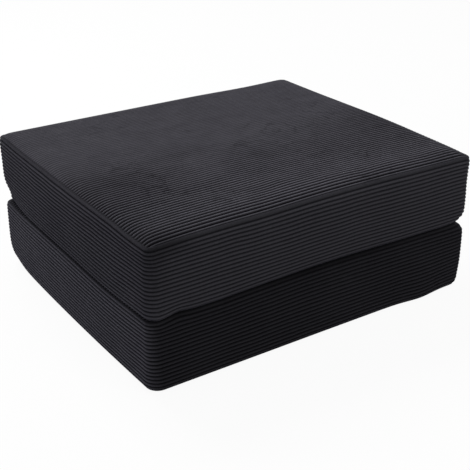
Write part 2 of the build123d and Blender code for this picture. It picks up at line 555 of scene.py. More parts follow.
@dataclass(frozen=True)
class FloorFinish:
    """Pale studio floor that reads as white to the camera and keeps a soft shadow."""

    colour: Colour = (0.95, 0.95, 0.95)
    bounce: Colour = (0.40, 0.40, 0.41)
    glow: Colour = (1.0, 1.0, 1.0)
    lift: float = 0.94

    def make(self) -> bpy.types.Material:
        """Builds the material.

        Returns:
            The material.
        """
        g = Graph(bpy.data.materials.new("studio_floor"))
        colour = g.mix(g.node("LightPath", out="Is Camera Ray"), self.bounce, self.colour)
        lit = g.node("BsdfPrincipled", None, {"Base Color": colour, "Roughness": 0.9})
        glow = g.node("Emission", None, {"Color": self.glow, "Strength": 1.0})
        return g.close(g.node("MixShader", None, {0: g.seen() * self.lift, 1: lit, 2: glow}))


# Meshes


def normals_of(grid: Array) -> Array:
    """Unit normals of a grid, from its row and column directions."""
    normal = np.cross(np.gradient(grid, axis=1), np.gradient(grid, axis=0))
    return normal / np.maximum(np.linalg.norm(normal, axis=2, keepdims=True), TINY)


@dataclass
class Patch:
    """A grid of cloth: its face, the numbers that its material reads, and its back."""

    points: Array
    groove: Array
    seam: Array
    back: Array
    # Painted shading by the way the cloth faces, and patches of painted light and shade.
    nap: Pair = (0.0, 0.0)
    brushes: Tuple["Brush", ...] = ()

    def lightness(self) -> Array:
        """Painted shading: how much lighter or darker each point is painted, by the way the cloth
        faces and by the patches of painted light and shade.

        Returns:
            One factor per point of the grid.
        """
        light = 1.0 + normals_of(self.back)[..., :2] @ np.array(self.nap)
        for shading_patch in self.brushes:
            light = light * shading_patch.at(self.back)
        return light


def link(name: str, data: bpy.types.ID) -> bpy.types.Object:
    """Puts a new object with this data into the scene.

    Args:
        name: The object's name.
        data: Its mesh, camera or lamp.

    Returns:
        The object.
    """
    made = bpy.data.objects.new(name, data)
    bpy.context.scene.collection.objects.link(made)
    return made


def mesh_object(
    name: str, vertices: Array, faces: Sequence[Sequence[int]], **numbers: Array
) -> bpy.types.Object:
    """Makes a smooth-shaded mesh object.

    Args:
        name: The piece's name.
        vertices: One row per point.
        faces: Point indices of each face.
        numbers: Point attributes by name.

    Returns:
        The linked object.
    """
    mesh = bpy.data.meshes.new(name)
    mesh.from_pydata(np.asarray(vertices, float).tolist(), [], [tuple(map(int, f)) for f in faces])
    for key, values in numbers.items():
        layer = mesh.attributes.new(key, "FLOAT", "POINT")
        layer.data.foreach_set("value", np.asarray(values, np.float32))
    mesh.validate()
    mesh.polygons.foreach_set("use_smooth", [True] * len(mesh.polygons))
    return link(name, mesh)


def grid_faces(rows: int, columns: int) -> Array:
    """Quads of a grid whose points run row by row."""
    low = (np.arange(rows - 1)[:, None] * columns + np.arange(columns - 1)[None, :]).ravel()
    return np.stack([low, low + 1, low + columns + 1, low + columns], axis=1)


def sheet_object(name: str, patch: Patch, thin: int = 4) -> bpy.types.Object:
    """Makes a closed thin piece from a patch; its back has fewer rows than its face.

    Args:
        name: The piece's name.
        patch: The cloth.
        thin: How many rows of the face go to one row of the back.

    Returns:
        The linked object.
    """
    rows, columns = patch.points.shape[:2]
    kept = np.unique(np.append(np.arange(0, rows, thin), rows - 1))
    count = rows * columns
    face = np.arange(count).reshape(rows, columns)
    back = count + np.arange(len(kept) * columns).reshape(len(kept), columns)
    faces = grid_faces(rows, columns).tolist()
    faces += (grid_faces(len(kept), columns)[:, ::-1] + count).tolist()
    for end, turn in ((0, 1), (-1, -1)):
        edge, under = face[end], back[end]
        rim = np.stack([edge[1:], edge[:-1], under[:-1], under[1:]], axis=1)
        faces += rim[:, ::turn].tolist()
    for end, turn in ((0, 1), (-1, -1)):
        for number, (low, high) in enumerate(zip(kept[:-1], kept[1:])):
            rim = face[low : high + 1, end].tolist() + [back[number + 1, end], back[number, end]]
            faces.append(rim[::turn])
    vertices = np.concatenate([patch.points.reshape(-1, 3), patch.back[kept].reshape(-1, 3)])
    # Painted groove shade, painted seam shade and painted shading, for the material to read.
    numbers = {"groove": patch.groove, "seam": patch.seam, "nap": patch.lightness()}
    both = {key: np.concatenate([v.ravel(), v[kept].ravel()]) for key, v in numbers.items()}
    return mesh_object(name, vertices, faces, **both)


def ring_solid(name: str, rings: Sequence[Array]) -> bpy.types.Object:
    """Makes a closed solid from rings, listed from the bottom and each running clockwise.

    Args:
        name: The piece's name.
        rings: Rings of the same number of points.

    Returns:
        The linked object.
    """
    count = len(rings[0])
    vertices = np.concatenate([*rings, [rings[0].mean(axis=0)], [rings[-1].mean(axis=0)]])
    step = np.arange(count)
    after = (step + 1) % count
    faces: List[List[int]] = []
    for number in range(len(rings) - 1):
        low, high = number * count, (number + 1) * count
        faces += np.stack([after + low, step + low, step + high, after + high], axis=1).tolist()
    bottom, top = len(rings) * count, len(rings) * count + 1
    faces += [[int(a), int(b), bottom] for a, b in zip(step, after)]
    last = (len(rings) - 1) * count
    faces += [[int(b) + last, int(a) + last, top] for a, b in zip(step, after)]
    return mesh_object(name, vertices, faces)


# The blocks


class Side(Enum):
    """The four sides of a block, each with its outward direction."""

    RIGHT = (1.0, 0.0)
    FRONT = (0.0, -1.0)
    LEFT = (-1.0, 0.0)
    BACK = (0.0, 1.0)


@dataclass(frozen=True)
class Rounding:
    """A block's rounded upper or lower edge, with its own depth and height on each side."""

    depths: Tuple[float, float, float, float]
    heights: Tuple[float, float, float, float]
    fullness: float = 1.0

    def at(self, normals: Array) -> Tuple[Array, Array]:
        """Depth and height where the outline faces a direction.

        Args:
            normals: Outward directions in plan, on the last axis.

        Returns:
            Two arrays, one value per direction.
        """
        shares = [np.clip(normals @ np.array(side.value), 0.0, 1.0) ** 2 for side in Side]
        return tuple(sum(s * v for s, v in zip(shares, t)) for t in (self.depths, self.heights))

    def fall(self, inward: Array, normals: Array) -> Array:
        """Height lost at a distance in from the outline."""
        depth, height = self.at(normals)
        return height * self.drop(np.clip(1.0 - inward / depth, 0.0, 1.0))

    def drop(self, share: Array) -> Array:
        """Share of the height lost at a share of the way out to the edge."""
        full = 1.0 - math.sqrt(1.0 - self.fullness)
        return (1.0 - np.sqrt(1.0 - self.fullness * share**2)) / full

    def inset(self, normals: Array, rise: float) -> Array:
        """How far in from the outline the rounding is at a height from the face.

        Args:
            normals: Outward directions in plan, on the last axis.
            rise: Height from the face.

        Returns:
            One distance per direction.
        """
        depth, height = self.at(normals)
        share = np.clip(1.0 - rise / height, 0.0, 1.0)
        return depth * (1.0 - np.sqrt(1.0 - share**2))


@dataclass(frozen=True)
class Spot:
    """A soft-edged place on the cover."""

    middle: Triple
    reach: Triple

    def share(self, points: Array) -> Array:
        """How much of an effect each point gets: 1 at the middle and less and less around it."""
        away = (points - np.array(self.middle)) / np.array(self.reach)
        return np.exp(-np.sum(away**2, axis=-1))


@dataclass(frozen=True)
class Dent(Spot):
    """A soft push on the cover, strongest at its middle."""

    push: Triple

    def at(self, points: Array) -> Array:
        """The shift of each point."""
        return self.share(points)[..., None] * np.array(self.push)


@dataclass(frozen=True)
class Brush(Spot):
    """A soft patch of painted light or painted shade: the colour is made lighter or darker there."""

    tone: float

    def at(self, points: Array) -> Array:
        """The factor on the lightness of each point."""
        return 1.0 + self.tone * self.share(points)


@dataclass(frozen=True)
class Ripple:
    """Faint waves in a cover: slow ones, and quick ones of half their height."""

    height: Triple = (0.0010, 0.0010, 0.0009)
    slow: Triple = (0.11, 0.11, 0.09)
    quick: Triple = (0.04, 0.04, 0.05)
    slow_seeds: int = 31
    quick_seeds: int = 17

    def at(self, points: Array, seed: int) -> Array:
        """The shift of each point of a cover with its own seed.

        Args:
            points: Places, with their three coordinates last.
            seed: The cover's own seed.

        Returns:
            The shifts, laid out as the places are.
        """
        shift = np.zeros_like(points)
        for axis, height in enumerate(self.height):
            slow = SoftNoise(seed * self.slow_seeds + axis, self.slow)
            quick = SoftNoise(seed * self.quick_seeds + axis, self.quick)
            shift[..., axis] = height * (slow(points) + 0.5 * quick(points))
        return shift


@dataclass
class RibPattern:
    """The corduroy's ribs: round ridges with a sharp groove between."""

    pitch: float = 0.0083
    depth: float = 0.0025
    backing: float = 0.0027
    shade: float = 1.0
    samples: int = 8

    def count(self, length: float) -> int:
        """How many whole ribs fit best in a length."""
        return int(round(length / self.pitch))

    def profile(self, travel: Array) -> Array:
        """Depth below the crest, as a share, at a distance across the ribs."""
        phase = travel / self.pitch
        return np.abs(2.0 * (phase - np.floor(phase)) - 1.0) ** 2.0

    def press(self, points: Array, travel: Array, strength: Array, seam: Array) -> "Patch":
        """Sinks the grooves into smooth cloth.

        Args:
            points: The smooth cloth's grid.
            travel: Distance across the ribs at each point.
            strength: From 0 where the cloth is flat to 1.
            seam: From 0 to 1 beside a seam, where shade is painted.

        Returns:
            The ribbed patch.
        """
        share = self.profile(travel) * strength
        facing = normals_of(points)
        sunk = points - facing * (self.depth * share)[..., None]
        # The groove share, scaled by shade, is painted shade in the grooves.
        return Patch(sunk, np.clip(share * self.shade, 0.0, 1.0), seam, points - facing * self.backing)


@dataclass(frozen=True)
class Run:
    """A straight run or a corner's arc of an outline.

    Its start and end are given at no corner radius, each with its change per metre of radius.
    """

    length: float
    start: Array
    start_change: Array
    end: Array
    end_change: Array
    facing: Array
    end_facing: Array

    @property
    def curved(self) -> bool:
        """Whether it is a corner's arc."""
        return abs(np.dot(self.facing, self.end_facing)) < 0.5

    def at(self, share: Array) -> Tuple[Array, Array, Array]:
        """Places, their changes and outward directions at shares of the way along.

        Args:
            share: Shares of the way along, one per row.

        Returns:
            Places at no corner radius, their change per metre of radius, and outward directions.
        """
        places = self.start + (self.end - self.start) * share
        if not self.curved:
            changes = self.start_change + (self.end_change - self.start_change) * share
            return places, changes, self.facing + 0.0 * share
        turn = share * QUARTER
        facing = self.facing * np.cos(turn) + self.end_facing * np.sin(turn)
        return places, self.start_change + facing, facing


@dataclass
class Block:
    """One foam block: its plan, its edges and the soft irregularities of its cover."""

    label: str
    base: float
    top: float
    upper_edge: Rounding
    lower_edge: Rounding
    upper_rise: float = 0.003
    lower_rise: float = 0.003
    seat: Optional[Rounding] = None
    crown: float = 0.0
    # Painted shading: how much lighter or darker each side is painted by the way it faces.
    nap: Pair = (0.0, 0.0)
    corners: Triple = (0.026, 0.028, 0.026)
    corner_ease: float = 2.2
    dents: Tuple[Dent, ...] = ()
    # Patches of painted light and shade on the cover.
    brushes: Tuple[Brush, ...] = ()
    ripple: Ripple = Ripple()
    back_margin: Margin = Margin(0.004, 0.06)
    right_margin: Margin = Margin(0.001, 0.05)
    level_margin: Margin = Margin(0.004, 0.035)
    seed: int = 1
    left: float = -0.372
    right: float = 0.381
    front: float = -0.320
    back: float = 0.326
    nominal: float = 0.030
    band_end: float = 0.320
    end_bow: float = 0.005
    front_bow: float = 0.0
    fullness: float = 0.0025
    pinch: float = 0.0016
    pinch_reach: float = 0.003
    # How much less painted groove shade the front-facing sides get.
    front_ease: float = 0.0
    relief: Optional["Relief"] = None

    @property
    def body(self) -> str:
        """The CAD body that the block is."""
        return f"{self.label}_block"

    @property
    def rim(self) -> float:
        """The level from which the wall's upper rounding starts."""
        return self.top - self.crown - (self.seat.heights[0] if self.seat else 0.0)

    @property
    def half(self) -> Array:
        """Half the outline's length and depth."""
        return np.array([(self.right - self.left) / 2, (self.back - self.front) / 2])

    @property
    def middle(self) -> Array:
        """The outline's middle."""
        return np.array([(self.left + self.right) / 2, (self.back + self.front) / 2])

    @property
    def girth(self) -> float:
        """Length of the outline."""
        return 4 * (self.half.sum() - 2 * self.nominal) + 2 * math.pi * self.nominal

    def runs(self) -> List[Run]:
        """The outline's runs and arcs, from the middle of the back by the right end.

        Returns:
            The runs and arcs, in the order in which they close the outline.
        """
        half, r = self.half, self.nominal
        zip_right = np.array([self.band_end - self.middle[0], half[1]])
        zip_left = np.array([-self.band_end - self.middle[0], half[1]])
        middle_back = np.array([0.0, half[1]])
        still = np.zeros(2)
        sides = (Side.BACK, Side.RIGHT, Side.FRONT, Side.LEFT, Side.BACK)
        facings = [np.array(side.value) for side in sides]
        signs = [np.array(pair) for pair in ((1.0, 1.0), (1.0, -1.0), (-1.0, -1.0), (-1.0, 1.0))]
        up = facings[0]
        found = [Run(zip_right[0], middle_back, still, zip_right, still, up, up)]
        place, change = zip_right, still
        for sign, before, after in zip(signs, facings, facings[1:]):
            corner = sign * half
            end_change = before - sign
            length = abs(np.dot(corner + r * end_change - place - r * change, np.ones(2)))
            found.append(Run(length, place, change, corner, end_change, before, before))
            found.append(Run(QUARTER * r, corner, -sign, corner, -sign, before, after))
            place, change = corner, after - sign
        length = abs(place[0] + r * change[0] - zip_left[0])
        found.append(Run(length, place, change, zip_left, still, up, up))
        found.append(Run(-zip_left[0], zip_left, still, middle_back, still, up, up))
        return found

    def outline(self, travel: Array) -> Tuple[Array, Array, Array]:
        """Walks round the plan.

        Args:
            travel: Distances along the outline.

        Returns:
            Places at no corner radius, their change per metre of radius, and outward directions.
        """
        places, changes, normals = (np.zeros((len(travel), 2)) for _ in range(3))
        start = 0.0
        for run in self.runs():
            inside = (travel >= start - NEAR) & (travel <= start + run.length + NEAR)
            share = ((travel[inside] - start) / run.length)[:, None]
            places[inside], changes[inside], normals[inside] = run.at(share)
            start += run.length
        return places, changes, normals

    def radius(self, z: Array) -> Array:
        """Corner radius at a height.

        Args:
            z: Heights above the floor.

        Returns:
            One radius per height.
        """
        share = np.clip((z - self.base) / (self.rim - self.base), 0.0, 1.0)
        low, mid, high = self.corners
        return np.where(
            share < 0.5,
            low + (mid - low) * smooth(share * self.corner_ease),
            high + (mid - high) * smooth((1.0 - share) * self.corner_ease),
        )

    def bulge(self, places: Array, normals: Array, z: Array) -> Array:
        """How far the front and left sides stand out past the straight outline.

        Args:
            places: Places in plan, from the outline's middle.
            normals: Outward directions at those places.
            z: Their heights above the floor.

        Returns:
            One distance per place.
        """
        share = (z - self.base) / (self.rim - self.base)
        swell = np.clip(1.0 - (2.0 * share - 1.0) ** 2, 0.0, 1.0)
        across = np.clip(1.0 - (places / self.half) ** 2, 0.0, 1.0)
        full = self.fullness * swell
        ahead = np.clip(-normals[..., 1], 0.0, 1.0) * across[..., 0]
        aside = np.clip(-normals[..., 0], 0.0, 1.0) * across[..., 1]
        return (self.front_bow + full) * ahead + (self.end_bow + full) * aside

    def pinched(self, away: Array) -> Array:
        """How far a seam draws the cloth in, at a distance from it."""
        return self.pinch * np.exp(-away / self.pinch_reach)

    def give(self, points: Array) -> Array:
        """Adds the cover's soft irregularities.

        Args:
            points: A grid of places on the smooth form.

        Returns:
            The grid, shifted; outside the dents, the back, the right end and level faces stay.
        """
        shift = self.ripple.at(points, self.seed)
        if self.relief is not None:
            shift = shift + self.relief.at(points)
        x, y, z = np.moveaxis(points, -1, 0)
        free = self.back_margin.past(self.back - y) * self.right_margin.past(self.right - x)
        held = self.level_margin.past(z - self.base)
        if self.seat is None:
            held = held * self.level_margin.past(self.top - z)
        return points + (shift * (free * held)[..., None] + self.dented(points))

    def dented(self, points: Array) -> Array:
        """The sum of the dents' shifts at each point."""
        return sum((dent.at(points) for dent in self.dents), np.zeros_like(points))


class Relief:
    """The shift that a cloth run gave to each part of a block's cover."""

    PARTS = (40, 90)
    NEIGHBOURS = 8
    BLUR = 0.005

    def __init__(self, rest: Array, shifts: Array) -> None:
        """Keeps the shifts.

        Args:
            rest: Places before the run.
            shifts: The shift of each of them.
        """
        self.shifts = shifts
        self.tree = KDTree(len(rest))
        for number, place in enumerate(rest):
            self.tree.insert(place, number)
        self.tree.balance()

    def _near(self, place: Array) -> Array:
        """The shift at one place, weighed over its nearest neighbours.

        Args:
            place: The place.

        Returns:
            Its shift.
        """
        near = self.tree.find_n(place, self.NEIGHBOURS)
        weight = np.array([1.0 / (found[2] + self.BLUR) ** 2 for found in near])
        return weight @ self.shifts[[found[1] for found in near]] / weight.sum()

    def at(self, points: Array) -> Array:
        """The shift of each point of a grid, read on a thinned grid and eased between.

        Args:
            points: A grid of places.

        Returns:
            A grid of shifts.
        """
        rows, columns = points.shape[:2]
        picks = [
            np.unique(np.append(np.arange(0, size, max(size // parts, 1)), size - 1))
            for size, parts in zip((rows, columns), self.PARTS)
        ]
        coarse = np.array([[self._near(points[i, j]) for j in picks[1]] for i in picks[0]])
        out = np.zeros_like(points)
        for axis in range(3):
            wide = [np.interp(np.arange(columns), picks[1], line) for line in coarse[..., axis]]
            tall = [np.interp(np.arange(rows), picks[0], line) for line in np.array(wide).T]
            out[..., axis] = np.array(tall).T
        return out


@dataclass(frozen=True)
class ClothRun:
    """A cloth simulation of a block's cover, cut a little large and held along its seams.

    Only a share of the shifts is laid on the cover, so that it waves and fills out very little.
    """

    around: int = 180
    wall_rings: int = 15
    lid_shares: Tuple[float, ...] = (0.3, 0.65, 0.9, 0.98)
    voxel: float = 0.011
    quality: int = 5
    mass: float = 0.3
    pressure: float = 0.3
    slack: float = 0.03
    frames: int = 20
    seam_reach: float = 0.02
    stiffness: Tuple[float, float, float, float] = (40.0, 15.0, 10.0, 0.5)
    laid_on: float = 0.06

    def _shell(self, block: Block) -> bpy.types.Object:
        """A closed copy of the block's cover, without ribs.

        Args:
            block: The block to copy.

        Returns:
            The closed copy.
        """
        walk = np.linspace(0.0, block.girth, self.around + 1)[:-1]
        places, changes, normals = block.outline(walk)
        rings = []
        for share in np.linspace(0.0, 1.0, self.wall_rings):
            z = block.base + (block.rim - block.base) * share
            plan = places + block.radius(np.array(z)) * changes
            out = block.bulge(plan, normals, np.full(len(plan), z))
            rings.append(at_level(plan + normals * out[:, None] + block.middle, z))
        lids = []
        for ring, level in ((rings[0], block.base), (rings[-1], block.top)):
            plans = [block.middle + (ring[:, :2] - block.middle) * share for share in self.lid_shares]
            lids.append([at_level(plan, level) for plan in plans])
        return ring_solid(f"{block.label}_run", [*lids[0], *rings, *lids[1][::-1]])

    def _held(self, block: Block, points: Array) -> List[int]:
        """Numbers of the points that lie by a seam.

        Args:
            block: The block.
            points: The cloth's points, one per row.

        Returns:
            The numbers, in rising order.
        """
        out = np.abs(points[:, :2] - block.middle) - block.half
        level = np.minimum(np.abs(points[:, 2] - block.top), np.abs(points[:, 2] - block.base))
        held = (out.max(axis=1) > -self.seam_reach) & (level < self.seam_reach)
        return np.nonzero(held)[0].tolist()

    def _set_up(self, run: bpy.types.Object, held: List[int]) -> None:
        """Makes a closed mesh into cloth, pinned at the held points.

        Args:
            run: The closed mesh.
            held: Numbers of the points to pin.
        """
        seam = run.vertex_groups.new(name="seam")
        seam.add(held, 1.0, "REPLACE")
        cloth = run.modifiers.new("cloth", "CLOTH")
        cloth.point_cache.frame_end = self.frames
        settings = cloth.settings
        settings.quality = self.quality
        settings.mass = self.mass
        settings.vertex_group_mass = seam.name
        settings.use_pressure = True
        settings.uniform_pressure_force = self.pressure
        settings.effector_weights.gravity = 0.0
        settings.shrink_min = -self.slack
        pull, push, shear, bend = self.stiffness
        settings.tension_stiffness = pull
        settings.compression_stiffness = push
        settings.shear_stiffness = shear
        settings.bending_stiffness = bend

    def relief(self, block: Block) -> Relief:
        """Runs the simulation.

        Args:
            block: The block.

        Returns:
            The shifts, to be read by the cover's pieces.
        """
        shell = self._shell(block)
        remesh = shell.modifiers.new("remesh", "REMESH")
        remesh.mode = "VOXEL"
        remesh.voxel_size = self.voxel
        graph = bpy.context.evaluated_depsgraph_get()
        mesh = bpy.data.meshes.new_from_object(shell.evaluated_get(graph))
        run = link(f"{block.label}_cloth_run", mesh)
        rest = self._places(mesh)
        self._set_up(run, self._held(block, rest))
        for frame_number in range(1, self.frames + 1):
            bpy.context.scene.frame_set(frame_number)
        graph = bpy.context.evaluated_depsgraph_get()
        done = run.evaluated_get(graph)
        shifts = self._places(done.to_mesh()) - rest
        done.to_mesh_clear()
        for item in (run, shell):
            bpy.data.objects.remove(item, do_unlink=True)
        bpy.context.scene.frame_set(1)
        largest = 1000 * np.linalg.norm(shifts, axis=1).max()
        LOG.info("%s: cloth run of %d points, largest shift %.2f mm", block.label, len(rest), largest)
        return Relief(rest, shifts * self.laid_on)

    @staticmethod
    def _places(mesh: bpy.types.Mesh) -> Array:
        """A mesh's points.

        Args:
            mesh: The mesh.

        Returns:
            One row per point.
        """
        flat = np.empty(len(mesh.vertices) * 3)
        mesh.vertices.foreach_get("co", flat)
        return flat.reshape(-1, 3)


# The covers


@dataclass
class Cover:
    """What a cover's pieces share: the block they lie on, their name and their ribs."""

    block: Block
    name: str
    ribs: RibPattern = field(default_factory=RibPattern)

    def patch(self) -> Patch:
        """Lays out the piece; each kind of piece has its own way."""
        raise NotImplementedError

    def build(self, finish: bpy.types.Material) -> bpy.types.Object:
        """Makes the piece and seats it on its block.

        Args:
            finish: The corduroy.

        Returns:
            The piece.
        """
        patch = self.patch()
        patch.nap, patch.brushes = self.block.nap, self.block.brushes
        piece = sheet_object(f"{self.name}_cloth", patch)
        piece.data.materials.append(finish)
        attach(piece, self.block.body)
        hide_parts(self.name)
        return piece


@dataclass
class Panel(Cover):
    """A block's large upper or lower panel, with ribs that run along the front."""

    upward: bool = True
    spacing: float = 0.012
    end_zone: float = 0.055
    end_columns: int = 8
    fine_steps: int = 4000
    outline_steps: int = 2400
    bulge_reach: float = 0.12
    seam_width: float = 0.003
    worn_edge: float = 0.002
    wander: float = 0.0003
    wander_ease: float = 0.03
    wander_cell: Pair = (0.16, 0.05)
    liveliness: float = 0.08
    lively_length: float = 0.35
    flattened: float = 0.76
    pressed_from: Triple = (0.07, 0.05, 0.09)
    pressed_ease: float = 0.28
    pressed_cell: Pair = (0.13, 0.09)
    seat_power: int = 5

    def _edge(self) -> Tuple[Rounding, float, float]:
        """The panel's rounding, the rise of its seam and its corner radius.

        Returns:
            All three, in that order.
        """
        block = self.block
        if self.upward:
            rise = block.upper_rise
            return block.upper_edge, rise, float(block.radius(np.array(block.rim - rise)))
        rise = block.lower_rise
        return block.lower_edge, rise, float(block.radius(np.array(block.base + rise)))

    def _distance(self, x: Array, y: Array, radius: float) -> Tuple[Array, Array]:
        """Distance in from the outline, and the way to it.

        Args:
            x: Places along the front, from the outline's middle.
            y: Places from front to back, from the outline's middle.
            radius: The corner radius.

        Returns:
            The distances, and the outward directions in plan.
        """
        hx, hy = self.block.half
        qx, qy = np.abs(x) - (hx - radius), np.abs(y) - (hy - radius)
        both = (qx > 0) & (qy > 0)
        reach = np.hypot(np.maximum(qx, 0.0), np.maximum(qy, 0.0))
        inward = radius - np.where(both, reach, np.maximum(qx, qy))
        nx = np.where(both, qx, (qx >= qy).astype(float))
        ny = np.where(both, qy, (qx < qy).astype(float))
        size = np.maximum(np.hypot(nx, ny), TINY)
        ways = [n / size * np.copysign(1.0, v) for n, v in ((nx, x), (ny, y))]
        return inward, np.stack(ways, axis=2)

    def _ends(self, across: Array, radius: float) -> Tuple[Array, Array]:
        """How far each row reaches to the left and right, up to the seam that the wall has.

        Args:
            across: Where the rows lie from front to back.
            radius: The corner radius.

        Returns:
            The distances to the left and to the right, one per row.
        """
        edge, rise, _ = self._edge()
        walk = np.linspace(0.0, self.block.girth, self.outline_steps + 1)[:-1]
        places, changes, normals = self.block.outline(walk)
        seam = places + radius * changes - normals * edge.inset(normals, rise)[:, None]
        found = []
        for sign in (-1.0, 1.0):
            line = seam[sign * normals[:, 0] > NEAR]
            line = line[np.argsort(line[:, 1])]
            found.append(np.interp(across, line[:, 1], sign * line[:, 0]))
        return found[0], found[1]

    def _wear(self, places: Array) -> Array:
        """Share of the ribs' depth that is left: sitting has pressed the seat's back half flat.

        Args:
            places: A grid of places in plan, from the outline's middle.

        Returns:
            One share per place.
        """
        if not (self.upward and self.block.seat):
            return np.ones(places.shape[:2])
        patchy = Draw.WEAR.noise(self.block.seed, *self.pressed_cell)(places)
        hx, hy = self.block.half
        start, uneven, bowed = self.pressed_from
        x, y = places[..., 0], places[..., 1]
        away = y + hy + uneven * patchy - start - bowed * (x / hx) ** 2
        return 1.0 - self.flattened * smooth(away / self.pressed_ease)

    def _fall(self, x: Array, y: Array, inward: Array, normals: Array) -> Array:
        """Height below the panel's middle, with the roundings of two sides eased together.

        Args:
            x: Places along the front, from the outline's middle.
            y: Places from front to back, from the outline's middle.
            inward: Distances in from the outline.
            normals: Outward directions in plan.

        Returns:
            One height per place.
        """
        block = self.block
        edge, rise, _ = self._edge()
        if not (self.upward and block.seat):
            return edge.fall(np.maximum(inward, edge.inset(normals, rise)), normals)
        right, front, left, back = block.seat.depths
        widths = (np.where(x > 0, right, left), np.where(y > 0, back, front))
        sx, sy = (
            np.clip(1.0 - (half - edge.depths[0] - np.abs(v)) / width, 0.0, None)
            for half, v, width in zip(block.half, (x, y), widths)
        )
        power = self.seat_power
        share = np.clip((sx**power + sy**power) ** (1 / power), 0.0, 1.0)
        dome = (1.0 - (x / block.half[0]) ** 2) * (1.0 - (y / block.half[1]) ** 2)
        return block.seat.heights[0] * block.seat.drop(share) + block.crown * (1.0 - dome)

    def _rows(self) -> Tuple[Array, Array]:
        """Where the mesh's rows lie from front to back, and the travel over the cloth to each.

        Returns:
            Both, with one value per row.
        """
        hy = self.block.half[1]
        edge, rise, _ = self._edge()
        front, back = (float(edge.inset(np.array(s.value), rise)) for s in (Side.FRONT, Side.BACK))
        fine = np.linspace(-(hy - front), hy - back, self.fine_steps + 1)
        facing = np.stack([np.zeros_like(fine), np.copysign(1.0, fine)], axis=1)
        drop = self._fall(np.zeros_like(fine), fine, hy - np.abs(fine), facing)
        travel = travelled(np.hypot(np.diff(fine), np.diff(drop)))
        rows = self.ribs.count(travel[-1]) * self.ribs.samples + 1
        row_travel = np.linspace(0.0, travel[-1], rows)
        return np.interp(row_travel, travel, fine), row_travel

    def _columns(self) -> Array:
        """Where the mesh's columns lie, from -1 at the left end to 1, closer together at the ends.

        Returns:
            One place per column.
        """
        hx = self.block.half[0]
        turn = np.linspace(0.0, QUARTER, self.end_columns + 1)[1:]
        near = self.end_zone * (1.0 - np.cos(turn))
        inner = np.linspace(near[-1], hx, int(hx / self.spacing))[1:]
        steps = np.concatenate([[0.0], near, inner]) / hx
        return np.concatenate([-1.0 + steps, (1.0 - steps)[::-1][1:]])

    def patch(self) -> Patch:
        """Lays out the smooth cloth and sinks the ribs into it.

        Returns:
            The ribbed cloth.
        """
        block = self.block
        edge, rise, radius = self._edge()
        across, travel = self._rows()
        along = self._columns()
        left, right = self._ends(across, radius)
        x = np.where(along[None, :] < 0, left[:, None] * along, right[:, None] * along)
        y = np.repeat(across[:, None], len(along), axis=1)
        inward, normals = self._distance(x, y, radius)
        away = np.clip(inward - edge.inset(normals, rise), 0.0, None)
        fall = self._fall(x, y, inward, normals)
        z = block.top - fall if self.upward else block.base + fall
        flat = np.stack([x, y], axis=2)
        out = block.bulge(flat, normals, z) * smooth(1.0 - inward / self.bulge_reach)
        out = out - block.pinched(away)
        places = flat + normals * out[..., None] + block.middle
        points = block.give(np.concatenate([places, z[..., None]], axis=2))
        wander = self.wander * Draw.WANDER.noise(block.seed, *self.wander_cell)(places)
        path = travel[:, None] + wander * smooth(away / self.wander_ease)
        lively = Draw.LIVELINESS.noise(block.seed, self.lively_length, self.ribs.pitch)(places)
        lively = 1.0 - self.liveliness + self.liveliness * lively
        strength = smooth(away / self.worn_edge) * lively * self._wear(flat)
        # The last part is painted shade along the panel's seam.
        parts = (points, path, strength, 1.0 - smooth(away / self.seam_width))
        return self.ribs.press(*(part if self.upward else part[::-1] for part in parts))


class Half(Enum):
    """The two halves of a zip, each with its direction from the zip's middle."""

    ABOVE = 1.0
    BELOW = -1.0

    @property
    def label(self) -> str:
        """The half's word in the names of its pieces."""
        return self.name.lower()


@dataclass(frozen=True)
class Hem:
    """The edge of a zip band, rolled in along the zip's mouth."""

    mark: float
    half: Half
    cut: float = 0.001
    ease: float = 0.0035
    proud: float = 0.0003
    roll_depth: float = 0.0012
    roll_height: float = 0.0011
    turn_from: float = 0.3
    rows: int = 4
    back_depth: float = 0.0022
    back_rise: float = 0.0003
    shade: float = 0.3

    def fold(self, patch: Patch, plane: float) -> Patch:
        """Cuts a wall at the mouth and folds its edge in.

        Args:
            patch: The whole wall, from its upper seam to its lower.
            plane: How far back the wall stands.

        Returns:
            The wall as far as the mouth.
        """
        sign = self.half.value
        keep = sign * (patch.points[..., 2].mean(axis=1) - self.mark) > self.cut
        order = slice(None, None, int(sign))
        parts = (patch.points, patch.groove, patch.seam, patch.back)
        points, groove, seam, back = (part[keep][order] for part in parts)
        ease = smooth(1.0 - np.abs(points[..., 2] - self.mark) / self.ease)[..., None]
        points[..., 1:2] += (plane - self.proud - points[..., 1:2]) * ease
        lip, under = [], []
        for turn in np.linspace(self.turn_from, QUARTER, self.rows):
            row = points[-1].copy()
            row[:, 2] = self.mark + sign * self.roll_height * (1.0 - math.sin(turn))
            row[:, 1] = plane - self.proud - self.roll_depth * (1.0 - math.cos(turn))
            lip.append(row)
            inner = row.copy()
            inner[:, 1] = plane - self.back_depth
            inner[:, 2] += sign * self.back_rise
            under.append(inner)
        plain = np.zeros((self.rows, points.shape[1]))
        pairs = ((points, lip), (groove, plain), (seam, plain + self.shade), (back, under))
        return Patch(*(np.concatenate([part, more])[order] for part, more in pairs))


